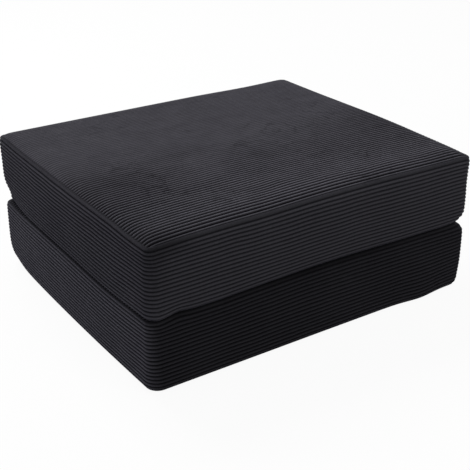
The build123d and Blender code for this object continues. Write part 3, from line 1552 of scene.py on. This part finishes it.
@dataclass
class Wall(Cover):
    """Cloth that stands round a block between its two seams, with level ribs."""

    start: float = 0.0
    end: float = 1.0
    hem: Optional[Hem] = None
    spacing: float = 0.010
    corner_columns: int = 14
    end_steps: Tuple[float, ...] = (0.0, 0.0012, 0.003, 0.006)
    end_clear: float = 0.009
    edge_steps: int = 60
    side_pinch: float = 0.0008
    side_pinch_reach: float = 0.002
    seam_width: float = 0.006
    plain_from: float = 0.003
    plain_top: float = 0.0065
    plain_share: float = 0.8
    plain_ease: float = 0.004
    plain_shade: float = 0.65

    def _profile(self, normal: Array) -> Tuple[Array, Array]:
        """Inset and height down the wall, from the upper seam to the lower.

        Args:
            normal: The wall's outward direction in plan.

        Returns:
            The insets and the heights.
        """
        block = self.block
        turn = np.linspace(0.0, QUARTER, self.edge_steps)
        depth, height = (float(v) for v in block.lower_edge.at(normal))
        low_in, low_z = depth * (1.0 - np.cos(turn)), block.base + height * (1.0 - np.sin(turn))
        depth, height = (float(v) for v in block.upper_edge.at(normal))
        up_in, up_z = depth * (1.0 - np.sin(turn)), block.rim - height * (1.0 - np.cos(turn))
        inset, z = np.concatenate([up_in, low_in]), np.concatenate([up_z, low_z])
        low, high = block.base + block.lower_rise, block.rim - block.upper_rise
        heights = np.clip(z, low, high)
        inset = np.interp(-heights, -z, inset)
        keep = np.concatenate([[True], np.diff(heights) < -NEAR])
        return inset[keep], heights[keep]

    def _columns(self) -> Array:
        """Distances along the outline of the mesh's columns, closer together at corners and ends.

        Returns:
            One distance per column, from the wall's start to its end.
        """
        mark = 0.0
        found = []
        for run in self.block.runs() * 2:
            count = self.corner_columns if run.curved else max(int(run.length / self.spacing), 1)
            found.append(np.linspace(mark, mark + run.length, count + 1)[:-1])
            mark += run.length
        every = np.concatenate(found)
        ends = np.array(self.end_steps)
        inner = every[(every > self.start + self.end_clear) & (every < self.end - self.end_clear)]
        return np.concatenate([self.start + ends, inner, (self.end - ends)[::-1]])

    def patch(self) -> Patch:
        """Lays out the wall and sinks the ribs into it.

        Returns:
            The ribbed cloth, with its hem where it has one.
        """
        block = self.block
        walk = self._columns()
        places, changes, normals = block.outline(walk % block.girth)
        profiles = [self._profile(normal) for normal in normals]
        travels = [travelled(np.hypot(np.diff(inset), np.diff(z))) for inset, z in profiles]
        ribs = self.ribs.count(float(np.mean([travel[-1] for travel in travels])))
        rows = ribs * self.ribs.samples + 1
        down = np.linspace(0.0, 1.0, rows)
        inset, z = np.zeros((rows, len(walk))), np.zeros((rows, len(walk)))
        for column, (profile, travel) in enumerate(zip(profiles, travels)):
            inset[:, column], z[:, column] = (np.interp(down * travel[-1], travel, p) for p in profile)
        fallen = down * (ribs * self.ribs.pitch)
        edge = np.minimum(down, 1.0 - down) * (ribs * self.ribs.pitch)
        side = np.minimum(walk - self.start, self.end - walk)
        side_pinch = self.side_pinch * np.exp(-side / self.side_pinch_reach)
        plan = places[None] + block.radius(z)[..., None] * changes[None]
        facing = np.repeat(normals[None], rows, axis=0)
        out = block.bulge(plan, facing, z) - inset - (block.pinched(edge)[:, None] + side_pinch[None])
        plan = plan + facing * out[..., None] + block.middle
        points = block.give(np.concatenate([plan, z[..., None]], axis=2))
        strength = smooth(np.minimum(edge[:, None], side[None] * 2.0) / self.seam_width)
        # The seam number is painted shade along the seams; on the seat's wall it also paints shade
        # over the plain band under the top seam.
        seam = 1.0 - strength
        if block.seat:
            plain = smooth((fallen - self.plain_from) / (self.plain_share * self.plain_top))
            strength = np.minimum(strength, plain[:, None])
            under = 1.0 - smooth((fallen - self.plain_top) / self.plain_ease)
            seam = np.maximum(seam, self.plain_shade * under[:, None])
        travel = np.repeat(fallen[:, None], len(walk), 1)
        patch = self.ribs.press(points, travel, strength, seam)
        # Less painted groove shade on the sides that face the front.
        patch.groove *= 1.0 - block.front_ease * np.clip(-facing[..., 1], 0.0, 1.0)
        return self.hem.fold(patch, block.back) if self.hem else patch


@dataclass
class FoamCore:
    """The foam slab inside a cover, with a shallow pocket behind the zip."""

    block: Block
    clearance: float = 0.008
    around: int = 240
    edge_radius: float = 0.012
    edge_rows: int = 5
    lid_insets: Pair = (0.06, 0.014)
    wall_from: float = 0.02
    wall_rows: int = 11
    pocket: float = 0.0015
    pocket_height: float = 0.018
    facing_back: float = 0.9
    saw_marks: float = 0.0003
    saw_cell: Triple = (0.05, 0.05, 0.01)

    def _rows(self, low: float, high: float) -> List[Pair]:
        """Inset and height of each ring, from the bottom up.

        Args:
            low: Height of the slab's underside.
            high: Height of its upper side.

        Returns:
            One pair per ring.
        """
        turns = np.linspace(0.0, QUARTER, self.edge_rows)
        r = self.edge_radius
        drops = [(r * (1 - math.sin(t)), r * (1 - math.cos(t))) for t in turns]
        rows = [(inset, low) for inset in self.lid_insets]
        rows += [(across, low + up) for across, up in drops]
        levels = np.linspace(low + self.wall_from, high - self.wall_from, self.wall_rows)
        rows += [(0.0, z) for z in levels]
        rows += [(across, high - up) for up, across in drops]
        return rows + [(inset, high) for inset in reversed(self.lid_insets)]

    def build(self, finish: bpy.types.Material) -> bpy.types.Object:
        """Makes the slab.

        Args:
            finish: The foam.

        Returns:
            The piece.
        """
        block = self.block
        walk = np.linspace(0.0, block.girth, self.around + 1)[:-1]
        places, changes, normals = block.outline(walk)
        low, high = block.base + self.clearance, block.rim - self.clearance
        saw = Draw.SAW.noise(block.seed, *self.saw_cell)
        rings = []
        for inset, z in self._rows(low, high):
            plan = places + block.nominal * changes
            behind = normals[:, 1] > self.facing_back
            pocket = (np.abs(plan[:, 0] + block.middle[0]) < block.band_end) & behind
            sunk = pocket * (abs(z - (low + high) / 2) < self.pocket_height) * self.pocket
            plan = plan - normals * (inset + self.clearance + sunk)[:, None] + block.middle
            ring = at_level(plan, z)
            ring = ring + block.dented(ring)
            rings.append(ring + normals @ np.eye(2, 3) * (self.saw_marks * saw(ring))[:, None])
        piece = ring_solid(f"{block.label}_foam_slab", rings)
        piece.data.materials.append(finish)
        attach(piece, block.body)
        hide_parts(f"{block.label}_foam_core")
        return piece


# Sewn pieces


@dataclass(frozen=True)
class Stitches:
    """A row of sewn stitches, each a small thread that lies on the cloth."""

    length: float = 0.0027
    gap: float = 0.0009
    radius: float = 0.00033
    sunk: float = 0.1
    sides: int = 6
    rings: Tuple[Pair, ...] = ((-0.5, 0.45), (-0.42, 1.0), (0.0, 1.15), (0.42, 1.0), (0.5, 0.45))

    def _stitch(self, start: Array, end: Array, facing: Array) -> List[Array]:
        """The points of one stitch, ring by ring along it.

        Args:
            start: Where the thread comes out of the cloth.
            end: Where it goes in again.
            facing: The cloth's outward direction.

        Returns:
            The points.
        """
        along = end - start
        heading = along / max(np.linalg.norm(along), NEAR)
        side = np.cross(facing, heading)
        points = []
        for place, size in self.rings:
            centre = start + (place + 0.5) * along
            centre = centre + facing * self.radius * (0.5 * size - self.sunk)
            for step in range(self.sides):
                angle = step * 2 * math.pi / self.sides
                way = side * math.cos(angle) + facing * math.sin(angle)
                points.append(centre + self.radius * size * way)
        return points

    def _faces(self, start: int) -> List[Tuple[int, ...]]:
        """The faces of one stitch whose points count from a start.

        Args:
            start: Number of the stitch's first point.

        Returns:
            The point numbers of each face.
        """
        n, last = self.sides, start + (len(self.rings) - 1) * self.sides
        faces = []
        for low in range(start, last, n):
            for step in range(n):
                a, b = low + step, low + (step + 1) % n
                faces.append((a, b, b + n, a + n))
        return faces + [tuple(range(start + n - 1, start - 1, -1)), tuple(range(last, last + n))]

    def along(
        self, name: str, path: Array, facing: Triple, finish: bpy.types.Material
    ) -> bpy.types.Object:
        """Sews along a path.

        Args:
            name: The piece's name.
            path: Points of the row, on the cloth.
            facing: The cloth's outward direction.
            finish: The thread.

        Returns:
            The piece.
        """
        travel = travelled(np.linalg.norm(np.diff(path, axis=0), axis=1))
        pitch = self.length + self.gap
        vertices, faces = [], []
        for number in range(int(travel[-1] / pitch)):
            middle = (number + 0.5) * pitch
            ends = np.array([middle - 0.5 * self.length, middle + 0.5 * self.length])
            start, end = np.array([np.interp(ends, travel, axis) for axis in path.T]).T
            faces += self._faces(len(vertices))
            vertices += self._stitch(start, end, np.array(facing))
        piece = mesh_object(name, np.array(vertices), faces)
        piece.data.materials.append(finish)
        return piece


@dataclass
class Zip:
    """One block's zip: its woven tapes and the stitches beside its mouth."""

    block: Block
    half_length: float = 0.320
    mouth: float = 0.014
    tape_near: float = 0.0036
    tape_width: float = 0.014
    tape_thickness: float = 0.0007
    tape_plane: float = 0.3233
    tape_columns: int = 641
    tape_rows: int = 15
    ridge_at: float = 0.0022
    ridge_width: float = 0.0008
    ridge_height: float = 0.0002
    wave: float = 0.00012
    wave_cell: float = 0.03
    joined_from: float = 0.2832
    joined_gap: float = 0.0001
    joined_ease: float = 0.003
    stitch_rows: Tuple[Pair, Pair] = ((0.0022, 0.0004), (0.0085, 0.0011))
    stitched_to: float = 0.316
    path_points: int = 40

    @property
    def height(self) -> float:
        """The zip's height above the floor."""
        low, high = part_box(f"{self.block.label}_zip_end_stops")
        return (low[2] + high[2]) / 2

    def _tape(self, half: Half) -> Patch:
        """One woven tape, with a ridge by the bead; past the stops both tapes' edges meet.

        Args:
            half: Which of the two tapes.

        Returns:
            The tape.
        """
        x = np.linspace(-self.half_length, self.half_length, self.tape_columns)
        across = np.linspace(0.0, self.tape_width, self.tape_rows)
        ridge = self.ridge_height * np.exp(-(((across - self.ridge_at) / self.ridge_width) ** 2))
        wave = self.wave * Draw.TAPE.noise(self.block.seed, self.wave_cell)(x[:, None])
        grid = np.zeros((self.tape_rows, self.tape_columns, 3))
        grid[..., 0] = x[None]
        grid[..., 1] = self.tape_plane + self.tape_thickness / 2 + ridge[:, None] + wave[None]
        joined = smooth((np.abs(x) - self.joined_from) / self.joined_ease)
        near = self.tape_near - (self.tape_near - self.joined_gap) * joined
        outer = self.tape_near + self.tape_width
        share = (across / self.tape_width)[:, None]
        grid[..., 2] = self.height + half.value * (near + share * (outer - near))
        grid = grid[::-1] if half is Half.ABOVE else grid
        back = grid.copy()
        back[..., 1] = self.tape_plane - self.tape_thickness / 2
        plain = np.zeros(grid.shape[:2])
        return Patch(grid, plain, plain, back)

    def build(self, tape: bpy.types.Material, thread: bpy.types.Material) -> List[bpy.types.Object]:
        """Makes the tapes and the stitches that hold them.

        Args:
            tape: The woven finish.
            thread: The stitches' finish.

        Returns:
            The pieces.
        """
        made = []
        block = self.block
        for half in Half:
            name = f"{block.label}_zip_tape_{half.label}"
            piece = sheet_object(f"{name}_woven", self._tape(half))
            piece.data.materials.append(tape)
            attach(piece, block.body)
            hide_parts(name)
            2 * self.half_length
            made.append(piece)
            for number, (away, sunk) in enumerate(self.stitch_rows, 1):
                z = self.height + half.value * (self.mouth / 2 + away)
                reach = np.linspace(-self.stitched_to, self.stitched_to, self.path_points)
                path = np.array([[x, block.back - sunk, z] for x in reach])
                name = f"{block.label}_zip_stitches_{half.label}_{number}"
                row = Stitches().along(name, path, (0.0, 1.0, 0.0), thread)
                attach(row, block.body)
                made.append(row)
        return made


@dataclass
class HingeStrip:
    """The ribbed cloth strip that joins the two blocks at their right-hand ends."""

    inner: float = 0.3811
    outer: float = 0.3826
    half_length: float = 0.280
    half_width: float = 0.036
    level: float = 0.150
    corner: float = 0.006
    least_corner: float = 0.002
    ribs: RibPattern = field(default_factory=lambda: RibPattern(0.008, 0.0006, 0.001))
    rib_count: int = 9
    end_steps: Tuple[float, ...] = (0.0, 0.0004, 0.001, 0.002, 0.0035, 0.006)
    end_clear: float = 0.01
    columns: int = 57
    off_wall: float = 0.0002
    thickness: float = 0.0008
    rounded: float = 0.0012
    hem: float = 0.009
    hem_thickness: float = 0.0005
    hem_edge: float = 0.0015
    hem_ease: float = 0.003
    hem_flattened: float = 0.5
    hem_shade: float = 0.4
    sag: float = 0.0022
    sag_reach: float = 0.011
    bend: float = 0.006
    stitch_insets: Pair = (0.003, 0.0075)
    path_step: float = 0.003
    corner_points: int = 5

    def _sink(self, z: Array) -> Array:
        """How far the strip sags into the parting line, at a height from its middle."""
        return self.sag * np.exp(-((z / self.sag_reach) ** 2))

    def _patch(self) -> Patch:
        """Lays out the strip, its rounded corners and its hem, and sinks the ribs into it.

        Returns:
            The ribbed strip.
        """
        rows = self.rib_count * self.ribs.samples + 1
        levels = np.linspace(-self.half_width, self.half_width, rows)
        near = np.array(self.end_steps)
        reach = self.half_length - self.end_clear
        inner = np.linspace(-reach, reach, self.columns)
        along = np.concatenate([-self.half_length + near, inner, (self.half_length - near)[::-1]])
        z, y = np.meshgrid(levels, along, indexing="ij")
        over = np.clip(np.abs(z) - (self.half_width - self.corner), 0.0, None)
        narrow = self.corner - np.sqrt(np.maximum(self.corner**2 - over**2, 0.0))
        y = y * (1.0 - narrow / self.half_length)
        rim = np.minimum(self.half_width - np.abs(z), self.half_length - narrow - np.abs(y))
        lift = np.clip(1.0 - (1.0 - np.clip(rim / self.rounded, 0.0, 1.0)) ** 2, 0.0, 1.0)
        hem = smooth((self.hem + self.hem_edge - rim) / self.hem_ease)
        thick = (self.thickness + self.hem_thickness * hem) * np.sqrt(lift)
        sink = self._sink(z)
        front = self.inner + self.off_wall + thick - sink
        grid = np.stack([front, y, z + self.level], axis=2)[::-1]
        travel = (levels[::-1] + self.ribs.pitch / 2)[:, None] + 0.0 * z
        strength = smooth((rim - self.hem_edge) / self.hem_ease) * (1.0 - self.hem_flattened * hem)
        patch = self.ribs.press(grid, travel, strength[::-1], self.hem_shade * hem[::-1])
        patch.back = grid.copy()
        patch.back[..., 0] = self.inner - sink[::-1]
        return patch

    def build(self, finish: bpy.types.Material, thread: bpy.types.Material) -> List[bpy.types.Object]:
        """Makes the strip and its stitches, sagging a little into the parting between the blocks.

        Args:
            finish: The corduroy.
            thread: The stitches' finish.

        Returns:
            The pieces.
        """
        piece = sheet_object("hinge_strip_cloth", self._patch())
        piece.data.materials.append(finish)
        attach(piece, "lower_block")
        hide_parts("hinge_strip")
        made = [piece]
        for number, inset in enumerate(self.stitch_insets, 1):
            name = f"hinge_strip_stitches_{number}"
            made.append(Stitches().along(name, self._loop(inset), (1.0, 0.0, 0.0), thread))
        for item in made:
            item.parent = None
            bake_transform(item)
        2 * self.half_length
        return made

    def _loop(self, inset: float) -> Array:
        """A stitch row's path round the strip at a distance in from its edge.

        Args:
            inset: Distance in from the edge.

        Returns:
            The points of the closed path.
        """
        r = max(self.corner - inset, self.least_corner)
        cy, cz = self.half_length - inset - r, self.half_width - inset - r
        corners = []
        for number, (sy, sz) in enumerate(((1, 1), (-1, 1), (-1, -1), (1, -1))):
            for turn in np.linspace(number, number + 1, self.corner_points) * QUARTER:
                corners.append((sy * cy + r * math.cos(turn), sz * cz + r * math.sin(turn)))
        corners.append(corners[0])
        path = []
        for (y0, z0), (y1, z1) in zip(corners, corners[1:]):
            count = max(int(math.hypot(y1 - y0, z1 - z0) / self.path_step), 1)
            for share in np.linspace(0.0, 1.0, count + 1)[:-1]:
                path.append((y0 + (y1 - y0) * share, z0 + (z1 - z0) * share))
        y, z = np.array(path).T
        return np.column_stack([self.outer - self.off_wall - self._sink(z), y, z + self.level])


# Studio


@dataclass(frozen=True)
class Lamp:
    """A soft square lamp, aimed at the middle of the stack."""

    name: str
    place: Triple
    size: float
    power: float
    colour: Colour
    aim: Triple = (0.0, 0.0, 0.15)

    def hang(self) -> None:
        """Puts the lamp into the scene, unseen by the camera."""
        data = bpy.data.lights.new(self.name, "AREA")
        data.shape = "SQUARE"
        data.size = self.size
        data.energy = self.power
        data.color = self.colour
        made = link(self.name, data)
        made.location = self.place
        made.visible_camera = False
        way = Vector(self.aim) - Vector(self.place)
        made.rotation_euler = way.to_track_quat("-Z", "Y").to_euler()


@dataclass(frozen=True)
class Studio:
    """Floor, lamps, world and camera."""

    focal: float = 972.9
    frame_pixels: float = 470.0
    sensor: float = 36.0
    view_distance: float = 50.0
    place: Triple = (-1.0371, -1.5650, 0.9959)
    yaw: float = math.radians(56.07)
    pitch: float = math.radians(25.76)
    roll: float = math.radians(0.20)
    floor_reach: float = 14.0
    surround: Colour = (0.95, 0.97, 1.0)
    surround_strength: float = 0.34
    lamps: Tuple[Lamp, ...] = (
        Lamp("overhead", (-0.3, 2.2, 3.0), 1.6, 84.0, (1.0, 0.99, 0.98)),
        Lamp("front_fill", (0.5, -2.1, 2.1), 1.2, 12.2, (1.0, 1.0, 0.90)),
        Lamp("left_fill", (-2.4, 0.2, 1.2), 1.4, 7.2, (0.98, 0.97, 1.06)),
    )

    def camera(self) -> None:
        """Makes the camera of the photograph's view."""
        data = bpy.data.cameras.new("camera")
        data.sensor_fit = "HORIZONTAL"
        data.sensor_width = self.sensor
        data.lens = self.focal / self.frame_pixels * self.sensor
        data.clip_end = self.view_distance
        made = link("camera", data)
        level = math.cos(self.pitch)
        x, y, z = level * math.cos(self.yaw), level * math.sin(self.yaw), -math.sin(self.pitch)
        ahead = Vector((x, y, z))
        right = ahead.cross(Vector((0, 0, 1))).normalized()
        up = right.cross(ahead).normalized()
        turn = Matrix((right, up, -ahead)).transposed()
        roll = Matrix.Rotation(self.roll, 3, "Z")
        made.matrix_world = Matrix.Translation(self.place) @ (turn @ roll).to_4x4()
        bpy.context.scene.camera = made

    def world(self) -> None:
        """Sets a plain pale surrounding that reads as white to the camera."""
        g = Graph(bpy.data.worlds.new("studio"))
        dim = g.node("Background", None, {"Color": self.surround, "Strength": self.surround_strength})
        white = g.node("Background", None, {"Color": (1.0, 1.0, 1.0)})
        bpy.context.scene.world = g.close(g.node("MixShader", None, {0: g.seen(), 1: dim, 2: white}))

    def floor(self) -> None:
        """Lays a wide floor just under the stack."""
        signs = ((-1, -1), (1, -1), (1, 1), (-1, 1))
        corners = np.array([(x, y, 0) for x, y in signs]) * self.floor_reach
        made = mesh_object("studio_floor", corners, [[0, 1, 2, 3]])
        made.data.materials.append(FloorFinish().make())

    def build(self) -> None:
        """Sets up the whole studio."""
        self.floor()
        self.world()
        for lamp in self.lamps:
            lamp.hang()
        self.camera()
        bpy.context.scene.view_settings.view_transform = "Standard"


# The chair bed

# Where the two blocks press each other out of true along the parting, so that both follow.
SHARED_DENTS = (
    Dent((0.02, -0.320, 0.150), (0.20, 0.10, 0.09), (0.0, 0.003, 0.005)),
    Dent((-0.372, -0.320, 0.150), (0.05, 0.05, 0.06), (0.0, 0.0, 0.001)),
    Dent((-0.372, -0.16, 0.150), (0.05, 0.10, 0.06), (0.0, 0.0, -0.004)),
    Dent((-0.350, -0.335, 0.150), (0.022, 0.06, 0.022), (0.0, 0.0, -0.003)),
    Dent((-0.312, -0.335, 0.150), (0.020, 0.06, 0.022), (0.0, 0.001, 0.003)),
    Dent((-0.224, -0.335, 0.150), (0.030, 0.06, 0.025), (0.0, 0.0, -0.001)),
    Dent((0.265, -0.335, 0.150), (0.060, 0.06, 0.04), (0.0, 0.0, 0.001)),
    Dent((-0.372, 0.225, 0.150), (0.05, 0.06, 0.03), (0.0, 0.0, -0.003)),
    Dent((0.385, -0.325, 0.150), (0.05, 0.06, 0.013), (-0.010, 0.006, 0.0)),
)

LOWER_DENTS = (
    Dent((0.262, -0.320, 0.015), (0.045, 0.05, 0.05), (0.0, -0.007, 0.0)),
    Dent((-0.372, 0.326, 0.0), (0.06, 0.07, 0.026), (0.007, -0.005, 0.007)),
    Dent((-0.343, 0.312, 0.150), (0.03, 0.02, 0.01), (0.0, 0.0, -0.0018)),
)

# Painted shadow under the upper block's overhang along the front and left creases, and broader painted
# shade down the lower front.
LOWER_SHADING_PATCHES = (
    Brush((0.0, -0.320, 0.151), (2.0, 0.05, 0.007), -0.85),
    Brush((0.0, -0.320, 0.150), (2.0, 0.05, 0.040), -0.15),
    Brush((-0.372, 0.0, 0.151), (0.05, 2.0, 0.006), -0.65),
)

UPPER_DENTS = (
    Dent((0.06, -0.330, 0.300), (0.22, 0.12, 0.06), (0.0, 0.003, 0.005)),
    Dent((0.25, 0.326, 0.300), (0.09, 0.10, 0.05), (0.0, 0.0, -0.002)),
    Dent((0.390, -0.05, 0.300), (0.10, 0.16, 0.05), (0.002, 0.0, 0.003)),
    Dent((-0.375, 0.330, 0.160), (0.06, 0.11, 0.026), (0.010, -0.004, 0.0)),
    Dent((0.381, -0.320, 0.290), (0.06, 0.06, 0.09), (-0.006, 0.0, 0.001)),
    Dent((-0.375, -0.275, 0.292), (0.05, 0.07, 0.035), (0.0, 0.0, -0.0045)),
)

# Painted shade at the near corner where the cloth dips, painted highlights along the lower front and
# left edges just above the crease, painted light on the near half of the top and painted shade on its
# far part.
UPPER_SHADING_PATCHES = (
    Brush((-0.340, -0.330, 0.284), (0.050, 0.05, 0.020), -0.42),
    Brush((-0.362, -0.322, 0.245), (0.025, 0.025, 0.05), -0.22),
    Brush((0.0, -0.325, 0.154), (2.0, 0.05, 0.006), 0.22),
    Brush((-0.375, 0.0, 0.154), (0.05, 2.0, 0.005), 0.15),
    Brush((0.05, -0.250, 0.303), (0.80, 0.14, 0.013), 1.12),
    Brush((-0.10, 0.30, 0.303), (0.60, 0.32, 0.020), -0.13),
)


class ChairBed:
    """The whole chair bed, built sub-assembly by sub-assembly."""

    PARTING = 0.150
    HALF_GAP = 0.00015

    def __init__(self) -> None:
        """Sets out the two blocks."""
        self.lower = Block(
            label="lower",
            base=0.0,
            top=self.PARTING - self.HALF_GAP,
            upper_edge=Rounding((0.020, 0.018, 0.010, 0.016), (0.022, 0.018, 0.012, 0.020)),
            lower_edge=Rounding((0.022, 0.018, 0.018, 0.018), (0.022, 0.018, 0.018, 0.018)),
            # Painted shading: the left and back sides painted lighter, the front and right darker; the
            # front gets a little less painted groove shade.
            nap=(-0.42, 0.57),
            front_ease=0.06,
            corners=(0.028, 0.020, 0.022),
            dents=SHARED_DENTS + LOWER_DENTS,
            brushes=LOWER_SHADING_PATCHES,
            seed=2,
        )
        self.upper = Block(
            label="upper",
            base=self.PARTING + self.HALF_GAP,
            top=0.3035,
            upper_edge=Rounding((0.005,) * 4, (0.016,) * 4),
            lower_edge=Rounding((0.022, 0.006, 0.005, 0.020), (0.045, 0.009, 0.008, 0.040)),
            upper_rise=0.0,
            seat=Rounding((0.038, 0.056, 0.038, 0.036), (0.009,) * 4, fullness=0.8),
            crown=0.0025,
            # Painted shading, slight: the front and right a little lighter, the left and back a little
            # darker; the front gets much less painted groove shade.
            nap=(0.04, -0.02),
            front_ease=0.30,
            corners=(0.022, 0.020, 0.014),
            dents=SHARED_DENTS + UPPER_DENTS,
            brushes=UPPER_SHADING_PATCHES,
            seed=5,
        )

    def _cover(self, block: Block) -> List[Cover]:
        """The pieces of one block's cover.

        Args:
            block: The block.

        Returns:
            The pieces, not yet built.
        """
        label = block.label
        near = block.band_end - block.middle[0]
        far = block.girth - block.band_end - block.middle[0]
        sewn = Zip(block)
        panel_ribs = RibPattern(pitch=0.0087, depth=0.0042, backing=0.0044)
        side_ribs = RibPattern(pitch=0.0080, depth=0.0024, shade=0.68)
        band_ribs = RibPattern(pitch=0.0080, depth=0.0019, backing=0.0022, shade=0.65)
        pieces: List[Cover] = [
            Panel(block, f"{label}_top_panel", panel_ribs, upward=True),
            Panel(block, f"{label}_bottom_panel", panel_ribs, upward=False),
            Wall(block, f"{label}_side_band", side_ribs, near, far),
        ]
        for half in Half:
            hem = Hem(sewn.height + half.value * sewn.mouth / 2, half)
            name = f"{label}_zip_band_{half.label}"
            pieces.append(Wall(block, name, band_ribs, far, block.girth + near, hem))
        return pieces

    def _dress(self) -> None:
        """Gives the moulded and metal CAD parts of both zips their finishes."""
        teeth, metal = MouldedFinish().make(), CastFinish().make()
        finishes = {"teeth": teeth, "stops": metal, "slider": metal, "pull": metal}
        for name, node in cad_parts.items():
            for part, finish in finishes.items():
                if "_zip_" in name and part in name:
                    node.data.materials.clear()
                    node.data.materials.append(finish)
                    LOG.info("%s: dressed with %s", name, finish.name)

    def build(self) -> None:
        """Builds and dresses every piece."""
        cord, foam = CorduroyFinish().make(), FoamFinish().make()
        tape, thread = TapeFinish().make(), ThreadFinish().make()
        made: List[bpy.types.Object] = []
        for block in (self.lower, self.upper):
            block.relief = ClothRun().relief(block)
            made += [piece.build(cord) for piece in self._cover(block)]
            made.append(FoamCore(block).build(foam))
            made += Zip(block).build(tape, thread)
        made += HingeStrip().build(cord, thread)
        for piece in made:
            LOG.info("%s: %d faces", piece.name, len(piece.data.polygons))
        self._dress()


def main() -> None:
    """Builds the object and its studio."""
    logging.basicConfig(level=logging.INFO, format="%(name)s %(message)s")
    ChairBed().build()
    Studio().build()


if __name__ == "__main__":
    main()
